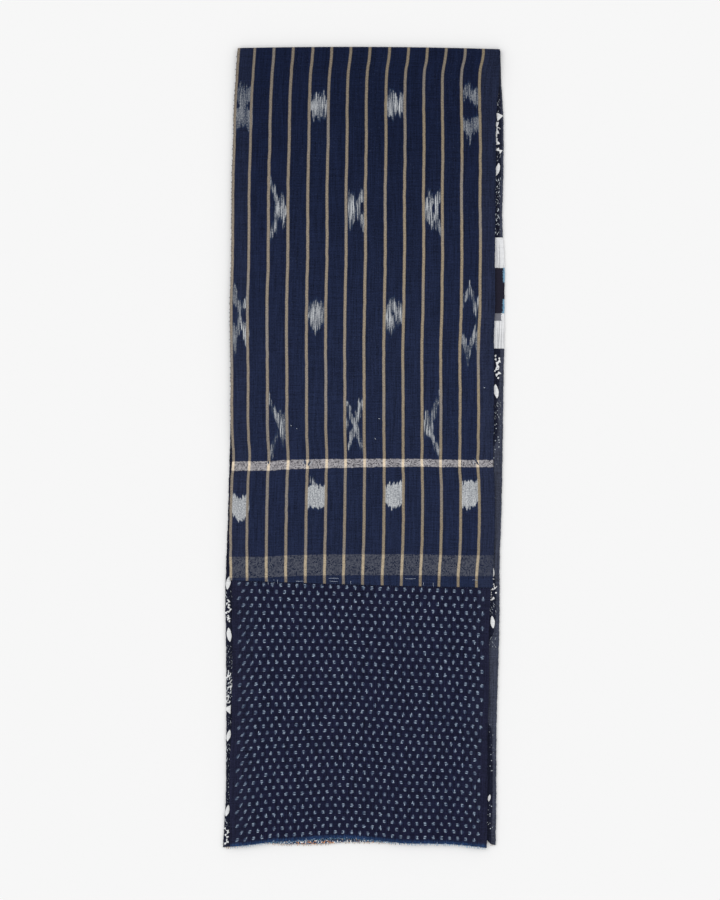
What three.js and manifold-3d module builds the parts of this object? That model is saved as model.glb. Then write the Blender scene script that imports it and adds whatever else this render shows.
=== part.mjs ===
// A cotton patchwork scarf, folded once across its length and laid flat.
// Units are millimetres. X runs across the scarf, Y runs along it with the fold at +Y, and Z is up.
// The origin is on the ground, under the middle of the folded scarf.
// "down" is the distance from the crest of the fold towards the cut ends.

import * as THREE from 'three';
import Module from 'manifold-3d';

const wasm = await Module();
wasm.setup();

// The cloth and its seams
const CLOTH = 1.0;
const SEAM_GAP = 0.3;
const LINING_OPENING = 0.5;
const OVERLAP = 0.3;

// The folded scarf
const MIDDLE_DOWN = 481;
const FOLD_ROLL = 1.2;
const FOLD_ROLL_LENGTH = 60;
const CREST_ACROSS = -15;
const CREST_DROP_LEFT = 2;
const CREST_DROP_RIGHT = 3.6;
const SCARF_HALF_WIDTH = 160;

// The plies, as depths in from the outer face of the folded scarf
const OUTER_DEPTH = 0;
const LINING_DEPTH = CLOTH + SEAM_GAP;
const LINING_INNER_DEPTH = LINING_DEPTH + CLOTH;
const STACK_HEIGHT = 2 * LINING_INNER_DEPTH + LINING_OPENING;
const FOLD_RADIUS = (STACK_HEIGHT + FOLD_ROLL) / 2;

// The seam where the striped panel's raw hem lies on the dotted panel
const HEM_TUCK = 12;
const HEM_SLOPE = 12;
const HEM_MARGIN = 1.5;
const HEM_RISE = CLOTH + SEAM_GAP;

// The back
const STRIPED_RETURN = 46;
const BACK_INSET = 0.6;

// The lining
const LINING_INSET = 1.2;
const LINING_END_INSET = 3;
const STITCHED_INSET = 6;

// The patch that is pieced into the lining's right edge
const PATCH_START = 228.6;
const PATCH_END = 361.8;
const PATCH_SEAM = 151.6;

// Colours and roughness of the cloths
const STRIPED_INDIGO = 0x232c4e;
const DOTTED_INDIGO = 0x201f3d;
const LINING_CHARCOAL = 0x3a3d4c;
const PATCH_WHITE = 0xd8d4d6;
const BACK_INDIGO = 0x1c2445;
const CLOTH_ROUGHNESS = 0.92;

// Steps of the grids
const ACROSS_STEPS = 12;
const ROW_LENGTH = 24;
const FOLD_STEPS = 8;
const PATCH_STEPS = 6;

// The edges of each half: distance down from the crest, and the left and right edges there
const STRIPED_EDGES = [
  { down: 0, left: -151.4, right: 163.6 },
  { down: 40, left: -154.0, right: 162.0 },
  { down: 76, left: -156.0, right: 159.0 },
  { down: 112, left: -156.8, right: 158.4 },
  { down: 160, left: -158.4, right: 158.2 },
  { down: 208, left: -158.8, right: 157.6 },
  { down: 260, left: -159.2, right: 157.2 },
  { down: 304, left: -160.6, right: 157.4 },
  { down: 340, left: -160.6, right: 156.2 },
  { down: 400, left: -160.0, right: 156.2 },
  { down: 472, left: -160.0, right: 156.2 },
  { down: 520, left: -160.2, right: 157.4 },
  { down: 568, left: -160.4, right: 157.2 },
  { down: 616, left: -160.8, right: 155.4 },
  { down: 650, left: -160.2, right: 154.4 },
];

const DOTTED_EDGES = [
  { down: 628, left: -158.2, right: 153.2 },
  { down: 650, left: -158.2, right: 152.4 },
  { down: 700, left: -158.0, right: 150.2 },
  { down: 760, left: -158.0, right: 150.0 },
  { down: 814, left: -158.6, right: 148.6 },
  { down: 860, left: -160.4, right: 148.4 },
  { down: 892, left: -161.2, right: 148.2 },
  { down: 916, left: -161.0, right: 148.0 },
  { down: 940, left: -160.4, right: 147.8 },
  { down: 962, left: -160.8, right: 147.6 },
];

const BACK_EDGES = [
  { down: 0, left: -150.6, right: 163.8 },
  { down: 40, left: -152.6, right: 164.8 },
  { down: 76, left: -154.2, right: 167.0 },
  { down: 112, left: -155.0, right: 167.6 },
  { down: 160, left: -156.0, right: 167.6 },
  { down: 208, left: -156.6, right: 167.6 },
  { down: 260, left: -157.2, right: 168.8 },
  { down: 304, left: -158.0, right: 168.6 },
  { down: 340, left: -158.4, right: 168.6 },
  { down: 400, left: -158.8, right: 167.6 },
  { down: 472, left: -160.4, right: 166.6 },
  { down: 520, left: -161.8, right: 165.8 },
  { down: 568, left: -163.8, right: 165.0 },
  { down: 616, left: -165.2, right: 164.0 },
  { down: 664, left: -166.2, right: 163.2 },
  { down: 700, left: -165.6, right: 162.4 },
  { down: 760, left: -165.0, right: 161.2 },
  { down: 814, left: -165.0, right: 159.6 },
  { down: 892, left: -165.4, right: 159.2 },
  { down: 916, left: -166.2, right: 158.8 },
  { down: 940, left: -167.8, right: 158.4 },
  { down: 962, left: -168.8, right: 158.0 },
];

// The raw hem of the striped panel
const STRIPED_HEM = [
  { across: -160, down: 639.6 },
  { across: 0, down: 645.0 },
  { across: 155, down: 648.6 },
];

// The cut ends: how far down the dotted panel and the back half reach at each place across
const CUT_ENDS = [
  { across: -168, front: 960.6, back: 960.4 },
  { across: -142, front: 960.0, back: 958.0 },
  { across: -122, front: 956.0, back: 953.6 },
  { across: -108, front: 953.6, back: 952.0 },
  { across: -88, front: 953.2, back: 952.6 },
  { across: -66, front: 949.6, back: 956.4 },
  { across: -28, front: 948.6, back: 957.6 },
  { across: 12, front: 951.6, back: 957.6 },
  { across: 50, front: 952.4, back: 957.2 },
  { across: 86, front: 954.4, back: 955.4 },
  { across: 110, front: 957.8, back: 952.6 },
  { across: 146, front: 962.0, back: 950.6 },
  { across: 153, front: 962.0, back: 957.4 },
  { across: 168, front: 962.0, back: 958.0 },
];

// Soft rises of the upper plies, where the folded cloth doesn't lie quite flat
const RISES = [
  { across: 118, down: 205, halfWidth: 52, halfLength: 120, height: 1.3 },
  { across: -96, down: 330, halfWidth: 64, halfLength: 95, height: 1.1 },
  { across: 40, down: 452, halfWidth: 90, halfLength: 40, height: 0.8 },
  { across: -40, down: 585, halfWidth: 110, halfLength: 34, height: 0.7 },
  { across: 70, down: 716, halfWidth: 84, halfLength: 70, height: 1.0 },
  { across: -118, down: 800, halfWidth: 46, halfLength: 84, height: 1.2 },
  { across: 128, down: 880, halfWidth: 40, halfLength: 60, height: 0.9 },
];

/** Reads one column of a table at a place between its rows, on a smooth curve through the rows. */
function readColumn(rows, key, column, at) {
  const last = rows.length - 1;
  if (at <= rows[0][key]) {
    return rows[0][column];
  }
  if (at >= rows[last][key]) {
    return rows[last][column];
  }
  const upper = rows.findIndex((row) => row[key] > at);
  const from = rows[upper - 1];
  const to = rows[upper];
  const before = rows[Math.max(upper - 2, 0)];
  const after = rows[Math.min(upper + 1, last)];
  const width = to[key] - from[key];
  const share = (at - from[key]) / width;
  const slopeFrom = ((to[column] - before[column]) / (to[key] - before[key])) * width;
  const slopeTo = ((after[column] - from[column]) / (after[key] - from[key])) * width;
  const curve = new THREE.CubicBezierCurve(
    new THREE.Vector2(0, from[column]),
    new THREE.Vector2(1 / 3, from[column] + slopeFrom / 3),
    new THREE.Vector2(2 / 3, to[column] - slopeTo / 3),
    new THREE.Vector2(1, to[column]),
  );
  return curve.getPoint(share).y;
}

/** The left and right edges in a table at a distance down, drawn in by an inset. */
function edgesAt(rows, down, inset) {
  return {
    left: readColumn(rows, 'down', 'left', down) + inset,
    right: readColumn(rows, 'down', 'right', down) - inset,
  };
}

/** The edges of whichever outer panel covers the front half at a distance down. */
function frontEdgesAt(down, inset) {
  const rows = down < STRIPED_HEM[0].down ? STRIPED_EDGES : DOTTED_EDGES;
  return edgesAt(rows, down, inset);
}

/** The edges of the back half at a distance down. */
function backEdgesAt(down, inset) {
  return edgesAt(BACK_EDGES, down, inset);
}

/** How far the crest of the fold falls short of its highest point, at a place across. */
function crestDrop(across) {
  const drop = across < CREST_ACROSS ? CREST_DROP_LEFT : CREST_DROP_RIGHT;
  return drop * ((across - CREST_ACROSS) / SCARF_HALF_WIDTH) ** 2;
}

/** How high the upper plies stand above a flat stack: the roll of the fold and the soft rises. */
function swell(across, down) {
  let height = FOLD_ROLL * Math.exp(-(((down - FOLD_RADIUS) / FOLD_ROLL_LENGTH) ** 2));
  for (const rise of RISES) {
    const sideways = (across - rise.across) / rise.halfWidth;
    const lengthways = (down - rise.down) / rise.halfLength;
    height += rise.height * Math.exp(-(sideways ** 2) - lengthways ** 2);
  }
  return height;
}

/** How far the striped panel steps up where its hem lies on the dotted panel. */
function hemStep(across, down) {
  const hem = readColumn(STRIPED_HEM, 'across', 'down', across);
  const slopeEnd = hem - HEM_TUCK - HEM_MARGIN;
  return HEM_RISE * THREE.MathUtils.smoothstep(down, slopeEnd - HEM_SLOPE, slopeEnd);
}

/** No step at all, for the plies that lie under the outer panels. */
function noStep() {
  return 0;
}

/** A point of a ply, from its place across, its distance down, its turn round the fold and its depth. */
function plyPoint(across, down, turn, depth, step) {
  const radius = FOLD_RADIUS - depth;
  const rise = turn === Math.PI ? swell(across, down) - FOLD_ROLL + step(across, down) : 0;
  return new THREE.Vector3(
    across,
    MIDDLE_DOWN - down + radius * Math.sin(turn),
    FOLD_RADIUS - radius * Math.cos(turn) + rise,
  );
}

/** A closed mesh between two grids of points, with the outer grid's faces pointing away from the inner. */
function closedGrid(rowCount, columnCount, outerPoint, innerPoint) {
  const positions = [];
  for (const pointAt of [outerPoint, innerPoint]) {
    for (let row = 0; row <= rowCount; row += 1) {
      for (let column = 0; column <= columnCount; column += 1) {
        positions.push(...pointAt(row, column / columnCount).toArray());
      }
    }
  }
  const gridSize = (rowCount + 1) * (columnCount + 1);
  const outer = (row, column) => row * (columnCount + 1) + column;
  const inner = (row, column) => gridSize + outer(row, column);
  const indices = [];
  const quad = (a, b, c, d) => indices.push(a, b, c, a, c, d);
  for (let row = 0; row < rowCount; row += 1) {
    for (let column = 0; column < columnCount; column += 1) {
      quad(outer(row, column), outer(row + 1, column), outer(row + 1, column + 1), outer(row, column + 1));
      quad(inner(row, column), inner(row, column + 1), inner(row + 1, column + 1), inner(row + 1, column));
    }
    quad(outer(row, 0), inner(row, 0), inner(row + 1, 0), outer(row + 1, 0));
    const end = columnCount;
    quad(outer(row, end), outer(row + 1, end), inner(row + 1, end), inner(row, end));
  }
  for (let column = 0; column < columnCount; column += 1) {
    const end = rowCount;
    quad(outer(0, column), outer(0, column + 1), inner(0, column + 1), inner(0, column));
    quad(outer(end, column), inner(end, column), inner(end, column + 1), outer(end, column + 1));
  }
  const geometry = new THREE.BufferGeometry();
  geometry.setAttribute('position', new THREE.Float32BufferAttribute(positions, 3));
  geometry.setIndex(indices);
  return geometry;
}

/** The rows of a ply: up the back half if it has one, round the fold, and down the front half. */
function plyRows(backStops, frontStops) {
  const rows = [];
  const addRuns = (stops, turn) => {
    stops.slice(1).forEach((to, run) => {
      const from = stops[run];
      const steps = Math.max(1, Math.ceil(Math.abs(to - from) / ROW_LENGTH));
      for (let step = run === 0 ? 0 : 1; step <= steps; step += 1) {
        rows.push({ turn, nominal: THREE.MathUtils.lerp(from, to, step / steps) });
      }
    });
  };
  addRuns(backStops, 0);
  if (backStops.length > 0 && frontStops.length > 0) {
    for (let step = 1; step < FOLD_STEPS; step += 1) {
      rows.push({ turn: (Math.PI * step) / FOLD_STEPS, nominal: FOLD_RADIUS });
    }
  }
  addRuns(frontStops, Math.PI);
  return rows;
}

/** A ply of cloth as a closed wall. Its ends follow the lines that startDown and endDown give. */
function plyGeometry(ply) {
  const rows = plyRows(ply.backStops, ply.frontStops);
  const place = (rowIndex, share, depth) => {
    const { turn, nominal } = rows[rowIndex];
    const frontShare = (1 - Math.cos(turn)) / 2;
    const front = ply.frontEdges(nominal);
    const back = ply.backEdges(nominal);
    const left = THREE.MathUtils.lerp(back.left, front.left, frontShare);
    const right = THREE.MathUtils.lerp(back.right, front.right, frontShare);
    const across = THREE.MathUtils.lerp(left, right, share);
    const down = ply.fitDown(across, nominal, turn);
    return plyPoint(across, down, turn, depth, ply.step);
  };
  return closedGrid(
    rows.length - 1,
    ACROSS_STEPS,
    (row, share) => place(row, share, ply.depth),
    (row, share) => place(row, share, ply.depth + CLOTH),
  );
}

/** Fits a row between two lines across the scarf, which stand at nominal distances down. */
function fitBetween(nominal, nominalFrom, nominalTo, from, to) {
  return THREE.MathUtils.mapLinear(nominal, nominalFrom, nominalTo, from, to);
}

/** The line of the arc's start at a place across. */
function foldLine(across) {
  return FOLD_RADIUS + crestDrop(across);
}

const NO_EDGES = () => ({ left: 0, right: 0 });
const HEM_NOMINAL = STRIPED_HEM[1].down;
const END_NOMINAL = 2 * MIDDLE_DOWN;

/** The striped panel: from under the back, over the fold, to its raw hem on the front. */
function makeStripedPanel() {
  const slopeEnd = HEM_NOMINAL - HEM_TUCK - HEM_MARGIN;
  return plyGeometry({
    backStops: [STRIPED_RETURN, FOLD_RADIUS],
    frontStops: [FOLD_RADIUS, slopeEnd - HEM_SLOPE, slopeEnd - HEM_SLOPE / 2, slopeEnd, HEM_NOMINAL],
    depth: OUTER_DEPTH,
    frontEdges: (down) => edgesAt(STRIPED_EDGES, down, 0),
    backEdges: (down) => backEdgesAt(down, BACK_INSET),
    fitDown: (across, nominal, turn) => {
      const hem = readColumn(STRIPED_HEM, 'across', 'down', across);
      const end = turn === 0 ? STRIPED_RETURN : hem;
      const endNominal = turn === 0 ? STRIPED_RETURN : HEM_NOMINAL;
      return fitBetween(nominal, FOLD_RADIUS, endNominal, foldLine(across), end);
    },
    step: hemStep,
  });
}

/** The dotted panel: from under the striped hem to the cut end of the front half. */
function makeDottedPanel() {
  const start = HEM_NOMINAL - HEM_TUCK;
  return plyGeometry({
    backStops: [],
    frontStops: [start, END_NOMINAL],
    depth: OUTER_DEPTH,
    frontEdges: (down) => edgesAt(DOTTED_EDGES, down, 0),
    backEdges: NO_EDGES,
    fitDown: (across, nominal) => {
      const tuck = readColumn(STRIPED_HEM, 'across', 'down', across) - HEM_TUCK;
      const end = readColumn(CUT_ENDS, 'across', 'front', across);
      return fitBetween(nominal, start, END_NOMINAL, tuck, end);
    },
    step: noStep,
  });
}

/** The back panel: the outer face of the back half, flat on the ground. */
function makeBackPanel() {
  const start = STRIPED_RETURN + SEAM_GAP;
  return plyGeometry({
    backStops: [END_NOMINAL, start],
    frontStops: [],
    depth: OUTER_DEPTH,
    frontEdges: NO_EDGES,
    backEdges: (down) => backEdgesAt(down, BACK_INSET),
    fitDown: (across, nominal) => {
      const end = readColumn(CUT_ENDS, 'across', 'back', across) - BACK_INSET;
      return fitBetween(nominal, start, END_NOMINAL, start, end);
    },
    step: noStep,
  });
}

/** The lining of both halves as one folded ply. */
function makeLiningPly() {
  return plyGeometry({
    backStops: [END_NOMINAL, FOLD_RADIUS],
    frontStops: [FOLD_RADIUS, END_NOMINAL],
    depth: LINING_DEPTH,
    frontEdges: (down) => frontEdgesAt(down, LINING_INSET),
    backEdges: (down) => backEdgesAt(down, 0),
    fitDown: (across, nominal, turn) => {
      const frontEnd = readColumn(CUT_ENDS, 'across', 'front', across) - LINING_END_INSET;
      const backEnd = readColumn(CUT_ENDS, 'across', 'back', across);
      const end = turn === 0 ? backEnd : frontEnd;
      return fitBetween(nominal, FOLD_RADIUS, END_NOMINAL, foldLine(across), end);
    },
    step: noStep,
  });
}

/** The stretch between the two lining plies where they are held together, short of every edge. */
function makeLiningMiddle() {
  const end = END_NOMINAL - LINING_END_INSET - STITCHED_INSET;
  const rowCount = Math.ceil((end - FOLD_RADIUS) / ROW_LENGTH);
  const place = (row, share) => {
    const nominal = THREE.MathUtils.lerp(FOLD_RADIUS, end, row / rowCount);
    const front = frontEdgesAt(nominal, LINING_INSET + STITCHED_INSET);
    const back = backEdgesAt(nominal, STITCHED_INSET);
    const left = Math.max(front.left, back.left);
    const right = Math.min(front.right, back.right);
    const across = THREE.MathUtils.lerp(left, right, share);
    const frontEnd = readColumn(CUT_ENDS, 'across', 'front', across) - LINING_END_INSET;
    const backEnd = readColumn(CUT_ENDS, 'across', 'back', across);
    const lineEnd = Math.min(frontEnd, backEnd) - STITCHED_INSET;
    return { across, down: fitBetween(nominal, FOLD_RADIUS, end, foldLine(across), lineEnd) };
  };
  const innerFace = LINING_INNER_DEPTH - OVERLAP;
  return closedGrid(
    rowCount,
    ACROSS_STEPS,
    (row, share) => {
      const { across, down } = place(row, share);
      return plyPoint(across, down, Math.PI, innerFace, noStep);
    },
    (row, share) => {
      const { across, down } = place(row, share);
      return plyPoint(across, down, 0, innerFace, noStep);
    },
  );
}

/** The patch: pieced into the back half's lining, from its seam to the right edge. */
function makeBlockPatch() {
  const place = (row, share, depth) => {
    const down = THREE.MathUtils.lerp(PATCH_END, PATCH_START, row / PATCH_STEPS);
    const { right } = backEdgesAt(down, 0);
    const across = THREE.MathUtils.lerp(PATCH_SEAM, right, share);
    return plyPoint(across, down, 0, depth, noStep);
  };
  return closedGrid(
    PATCH_STEPS,
    1,
    (row, share) => place(row, share, LINING_DEPTH),
    (row, share) => place(row, share, LINING_INNER_DEPTH),
  );
}

/** The room that the patch takes out of the lining's lower ply, with its seam gaps. */
function makePatchRoom() {
  const reach = SCARF_HALF_WIDTH / 2;
  const length = PATCH_END - PATCH_START + 2 * SEAM_GAP;
  const height = CLOTH + SEAM_GAP;
  const room = new THREE.BoxGeometry(reach, length, height);
  room.translate(
    PATCH_SEAM - SEAM_GAP + reach / 2,
    MIDDLE_DOWN - (PATCH_START + PATCH_END) / 2,
    LINING_DEPTH - SEAM_GAP / 2 + height / 2,
  );
  return room;
}

/** Turns a closed geometry into a solid that can be joined and cut. */
function toSolid(geometry) {
  const positions = geometry.getAttribute('position');
  const places = new Map();
  const vertProperties = [];
  const merged = [];
  for (let vertex = 0; vertex < positions.count; vertex += 1) {
    const point = new THREE.Vector3().fromBufferAttribute(positions, vertex);
    const name = point.toArray().join(' ');
    if (!places.has(name)) {
      places.set(name, places.size);
      vertProperties.push(...point.toArray());
    }
    merged.push(places.get(name));
  }
  const triVerts = Uint32Array.from(geometry.getIndex().array, (vertex) => merged[vertex]);
  const mesh = new wasm.Mesh({ numProp: 3, vertProperties: new Float32Array(vertProperties), triVerts });
  return new wasm.Manifold(mesh);
}

/** Turns a solid back into a geometry. */
function toGeometry(solid) {
  const mesh = solid.getMesh();
  const geometry = new THREE.BufferGeometry();
  geometry.setAttribute('position', new THREE.Float32BufferAttribute(mesh.vertProperties, 3));
  geometry.setIndex(Array.from(mesh.triVerts));
  return geometry;
}

/** The lining: both plies and the held stretch between them, less the room for the patch. */
function makePrintedLining() {
  const joined = toSolid(makeLiningPly()).add(toSolid(makeLiningMiddle()));
  return toGeometry(joined.subtract(toSolid(makePatchRoom())));
}

/** A named piece of cloth in its own colour. */
function clothPiece(name, geometry, color) {
  geometry.computeVertexNormals();
  const material = new THREE.MeshStandardMaterial({ color, roughness: CLOTH_ROUGHNESS, metalness: 0 });
  const piece = new THREE.Mesh(geometry, material);
  piece.name = name;
  return piece;
}

const scarf = new THREE.Group();
scarf.add(clothPiece('striped_panel', makeStripedPanel(), STRIPED_INDIGO));
scarf.add(clothPiece('dotted_panel', makeDottedPanel(), DOTTED_INDIGO));
scarf.add(clothPiece('printed_lining', makePrintedLining(), LINING_CHARCOAL));
scarf.add(clothPiece('block_patch', makeBlockPatch(), PATCH_WHITE));
scarf.add(clothPiece('back_panel', makeBackPanel(), BACK_INDIGO));

export default scarf;
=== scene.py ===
"""A cotton patchwork scarf, folded once across its length and laid flat on a pale floor.

The tables hold millimetres and every mesh is in metres. X runs across the scarf, Y runs along it with
the fold at +Y, and Z is up from the floor. "Down" is the distance from the crest of the fold towards
the cut ends, and "turn" is the angle round the fold: 0 on the back half and half a circle on the front.
"""

import logging
import math
import random
from dataclasses import dataclass
from enum import Enum
from typing import NamedTuple, Union

import bmesh
import bpy
import numpy as np
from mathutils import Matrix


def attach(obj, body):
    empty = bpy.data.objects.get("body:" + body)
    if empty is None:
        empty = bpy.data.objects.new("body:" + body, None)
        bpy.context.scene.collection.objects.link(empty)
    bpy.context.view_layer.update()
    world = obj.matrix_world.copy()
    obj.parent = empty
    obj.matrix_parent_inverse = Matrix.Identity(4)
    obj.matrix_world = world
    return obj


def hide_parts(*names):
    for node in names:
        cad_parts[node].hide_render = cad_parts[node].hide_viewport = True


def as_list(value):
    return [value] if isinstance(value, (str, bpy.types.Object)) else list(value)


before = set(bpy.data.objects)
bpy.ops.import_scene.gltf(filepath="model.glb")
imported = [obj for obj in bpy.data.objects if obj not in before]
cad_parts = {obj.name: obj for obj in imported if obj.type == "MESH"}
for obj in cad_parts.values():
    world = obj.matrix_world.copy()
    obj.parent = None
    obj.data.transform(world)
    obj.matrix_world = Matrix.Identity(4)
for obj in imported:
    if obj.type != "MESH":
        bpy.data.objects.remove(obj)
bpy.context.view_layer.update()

LOG = logging.getLogger("patchwork_scarf")

Array = np.ndarray
Material = bpy.types.Material
Mesh = bpy.types.Mesh
Piece = bpy.types.Object
Socket = bpy.types.NodeSocket
Colour = tuple[float, float, float]
Value = Union["Wire", float]
Shade = Union["Wire", Colour]
Pair = tuple["Wire", "Wire"]
Marks = dict[str, Array]
Arrays = tuple[Array, Array]
Spot = tuple[float, float, float]
Stops = tuple[tuple[float, float], ...]

MM = 0.001
ROOT = "root"

# The cloth, its seams and its plies
CLOTH = 1.0
SEAM_GAP = 0.3
LINING_OPENING = 0.5
MIDDLE_DOWN = 481.0
FOLD_ROLL = 1.2
FOLD_ROLL_LENGTH = 60.0
CREST_ACROSS = -15.0
CREST_DROP_LEFT = 2.0
CREST_DROP_RIGHT = 2.3
SCARF_HALF_WIDTH = 160.0
LINING_DEPTH = CLOTH + SEAM_GAP
LINING_INNER_DEPTH = LINING_DEPTH + CLOTH
STACK_HEIGHT = 2 * LINING_INNER_DEPTH + LINING_OPENING
FOLD_RADIUS = (STACK_HEIGHT + FOLD_ROLL) / 2
HEM_TUCK = 12.0
HEM_SLOPE = 12.0
HEM_MARGIN = 1.5
HEM_RISE = CLOTH + SEAM_GAP
STRIPED_RETURN = 46.0
BACK_INSET = 0.6
LINING_INSET = 1.2
LINING_END_INSET = 3.0
PATCH_START = 228.6
PATCH_END = 361.8
PATCH_SEAM = 151.6
END_NOMINAL = 2 * MIDDLE_DOWN

# How the side edges of the upper panels roll down
ROLL_WIDTH = 2.4
ROLL_DROP = 0.45

# The periods and heights of the small waves in a hand-woven edge
WAVES = ((31.0, 0.4), (13.0, 0.35), (7.1, 0.3), (4.3, 0.2))

# The striped cloth: its width as woven, and its stripes' places from the selvedge
CLOTH_WIDTH = 317.2
STRIPE_PLACES = (2.1, 21.0, 44.5, 67.9, 91.7, 114.8, 137.7, 160.9, 184.7, 207.8, 230.7, 253.3, 276.5, 298.6)
STRIPE_COUNT = len(STRIPE_PLACES)
STRIPE_PITCH = 23.15
STRIPE_INDEX_MARGIN = 0.06
STRIPE_INDEX_SPAN = 14.1
CLOTH_UV_START = -STRIPED_RETURN
CLOTH_UV_SPAN = 700.0

# Rows of resist dots on the dotted cloth, as shares of the panel
DOT_FIRST_ACROSS = 0.0265
DOT_HALF_PITCH = 0.015924
DOT_FIRST_DOWN = 0.0507
DOT_ROW_PITCH = 0.02578
DOT_COLUMNS = 59
DOTTED_INSET = 11.0
DOT_BOW_LEFT = 2.0
DOT_BOW_RIGHT = 4.0


def placed(name: str, data: bpy.types.ID) -> Piece:
    """Makes an object of some data and puts it in the scene, at the origin.

    Args:
        name: The object's name.
        data: Its mesh, curve, light or camera.

    Returns:
        The object.
    """
    made = bpy.data.objects.new(name, data)
    bpy.context.scene.collection.objects.link(made)
    return made


def rows_of(kind: type, *rows: tuple) -> tuple:
    """A table of named rows, from plain rows of numbers."""
    return tuple(kind(*row) for row in rows)


class Edge(NamedTuple):
    """The left and right edges of one half of the scarf at a distance down."""

    down: float
    left: float
    right: float


class Reading(NamedTuple):
    """A value that a table gives at a place, across the scarf or down it."""

    place: float
    value: float


class CutPoint(NamedTuple):
    """How far down the front and back halves reach at a place across."""

    across: float
    front: float
    back: float


class Rise(NamedTuple):
    """A soft rise of the upper plies, where the folded cloth doesn't lie quite flat."""

    across: float
    down: float
    half_width: float
    half_length: float
    height: float


class Crease(NamedTuple):
    """A soft ridge or, with a height below nought, a trough along a short line of the cloth."""

    across: float
    down: float
    turn: float
    half_length: float
    half_width: float
    height: float


class DotShift(NamedTuple):
    """How far the dots are shifted at both sides at a distance down: across, and along the cloth."""

    down: float
    left: float
    right: float
    left_along: float
    right_along: float


STRIPED_EDGES = rows_of(
    Edge,
    (0, -151.4, 163.6), (40, -154.0, 162.0), (76, -156.0, 159.0), (112, -156.8, 158.4),
    (160, -158.4, 158.2), (208, -158.8, 157.6), (260, -159.2, 157.2), (304, -160.6, 157.4),
    (340, -160.6, 156.2), (400, -159.8, 156.2), (440, -160.0, 155.9), (472, -159.2, 155.2),
    (497, -157.7, 155.2), (520, -159.6, 156.6), (568, -161.2, 157.2), (616, -161.4, 155.4),
    (650, -160.8, 154.4),
)

DOTTED_EDGES = rows_of(
    Edge,
    (628, -158.2, 153.2), (650, -158.2, 152.4), (700, -158.0, 150.2), (760, -158.0, 150.0),
    (814, -158.6, 148.6), (860, -160.4, 148.4), (892, -161.2, 148.2), (916, -161.0, 148.0),
    (940, -160.4, 147.8), (962, -160.8, 147.6),
)

BACK_EDGES = rows_of(
    Edge,
    (0, -150.6, 163.8), (40, -152.6, 164.8), (76, -154.2, 167.0), (112, -155.0, 167.6),
    (160, -156.0, 167.1), (208, -156.6, 166.0), (260, -157.2, 168.8), (304, -158.0, 168.6),
    (340, -158.4, 168.6), (400, -158.8, 167.6), (472, -160.4, 166.6), (520, -161.8, 165.8),
    (568, -163.1, 164.7), (616, -164.9, 162.9), (664, -166.2, 162.8), (700, -165.6, 162.4),
    (760, -165.0, 160.8), (814, -165.0, 159.2), (892, -165.4, 158.8), (916, -166.2, 158.8),
    (940, -167.8, 158.4), (962, -168.8, 158.0),
)

# How far down the striped panel's raw hem lies, by the place across
STRIPED_HEM = rows_of(Reading, (-160, 639.6), (0, 645.0), (155, 648.6))
HEM_MIDDLE = STRIPED_HEM[1].value
SLOPE_END = HEM_MIDDLE - HEM_TUCK - HEM_MARGIN

CUT_ENDS = rows_of(
    CutPoint,
    (-168, 959.6, 960.0), (-142, 957.8, 957.2), (-122, 955.0, 953.6), (-108, 953.0, 955.6),
    (-88, 952.4, 956.4), (-66, 950.6, 956.2), (-40, 948.8, 955.2), (-28, 948.8, 952.4),
    (-20, 948.8, 953.6), (12, 951.4, 953.8), (32, 953.4, 954.6), (50, 955.2, 953.6),
    (86, 955.6, 952.6), (110, 956.6, 952.0), (146, 960.4, 950.6), (153, 960.8, 956.4),
    (168, 961.0, 957.6),
)

RISES = rows_of(
    Rise,
    (118, 205, 52, 120, 1.3), (-96, 330, 64, 95, 1.1), (40, 452, 90, 40, 0.8), (-40, 585, 110, 34, 0.7),
    (70, 716, 84, 70, 1.0), (-118, 800, 46, 84, 1.2), (128, 880, 40, 60, 0.9),
)

CREASES = rows_of(
    Crease,
    (-70, 60, 0.10, 70, 9, 0.35), (92, 88, -0.16, 52, 7, -0.22), (20, 172, 0.06, 96, 11, 0.30),
    (-112, 214, -0.22, 44, 7, -0.20), (104, 300, 0.12, 60, 9, 0.34), (-30, 366, -0.05, 88, 10, -0.24),
    (-120, 452, 0.20, 38, 7, 0.30), (62, 545, 0.04, 74, 9, 0.28), (-84, 688, 0.08, 66, 8, 0.36),
    (34, 762, -0.10, 84, 10, -0.22), (112, 826, 0.24, 36, 7, 0.34), (-40, 902, -0.06, 78, 9, 0.30),
)

BACK_CREASES = rows_of(
    Crease,
    (-60, 150, 0.14, 90, 9, 0.20), (84, 318, -0.20, 60, 8, 0.16), (-20, 520, 0.06, 110, 11, 0.22),
    (96, 664, 0.30, 48, 7, 0.15), (-92, 810, -0.12, 72, 9, 0.20),
)

# How far the stripes wander from their even places, as a share of the width, by the distance down
STRIPE_DRIFT = rows_of(
    Reading,
    (0, -0.0056), (8, -0.0060), (18, -0.0092), (27, -0.0160), (40, -0.0172), (50, -0.0146), (70, -0.0078),
    (92, -0.0025), (135, -0.0006), (178, -0.0010), (221, 0.0022), (254, 0.0032), (290, 0.0012),
    (329, 0.0018), (372, -0.0015), (459, 0.0008), (480, 0.0012), (502, -0.0014), (524, -0.0004),
    (560, -0.0006), (610, -0.0004), (632, -0.0042),
)

DOT_SHIFTS = rows_of(
    DotShift,
    (640, 0.4, 1.4, -1.4, 0.8), (668, 0.5, 1.8, -1.4, 0.8), (711, 0.7, 2.5, -1.2, 1.0),
    (759, 1.1, 2.2, -0.7, 1.9), (807, 0.9, 2.1, -0.5, 1.7), (855, 1.3, 0.2, 0.0, 0.0),
    (903, 0.7, 0.1, -0.3, -0.3), (933, 0.6, -0.3, -0.6, -1.0),
)

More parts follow.
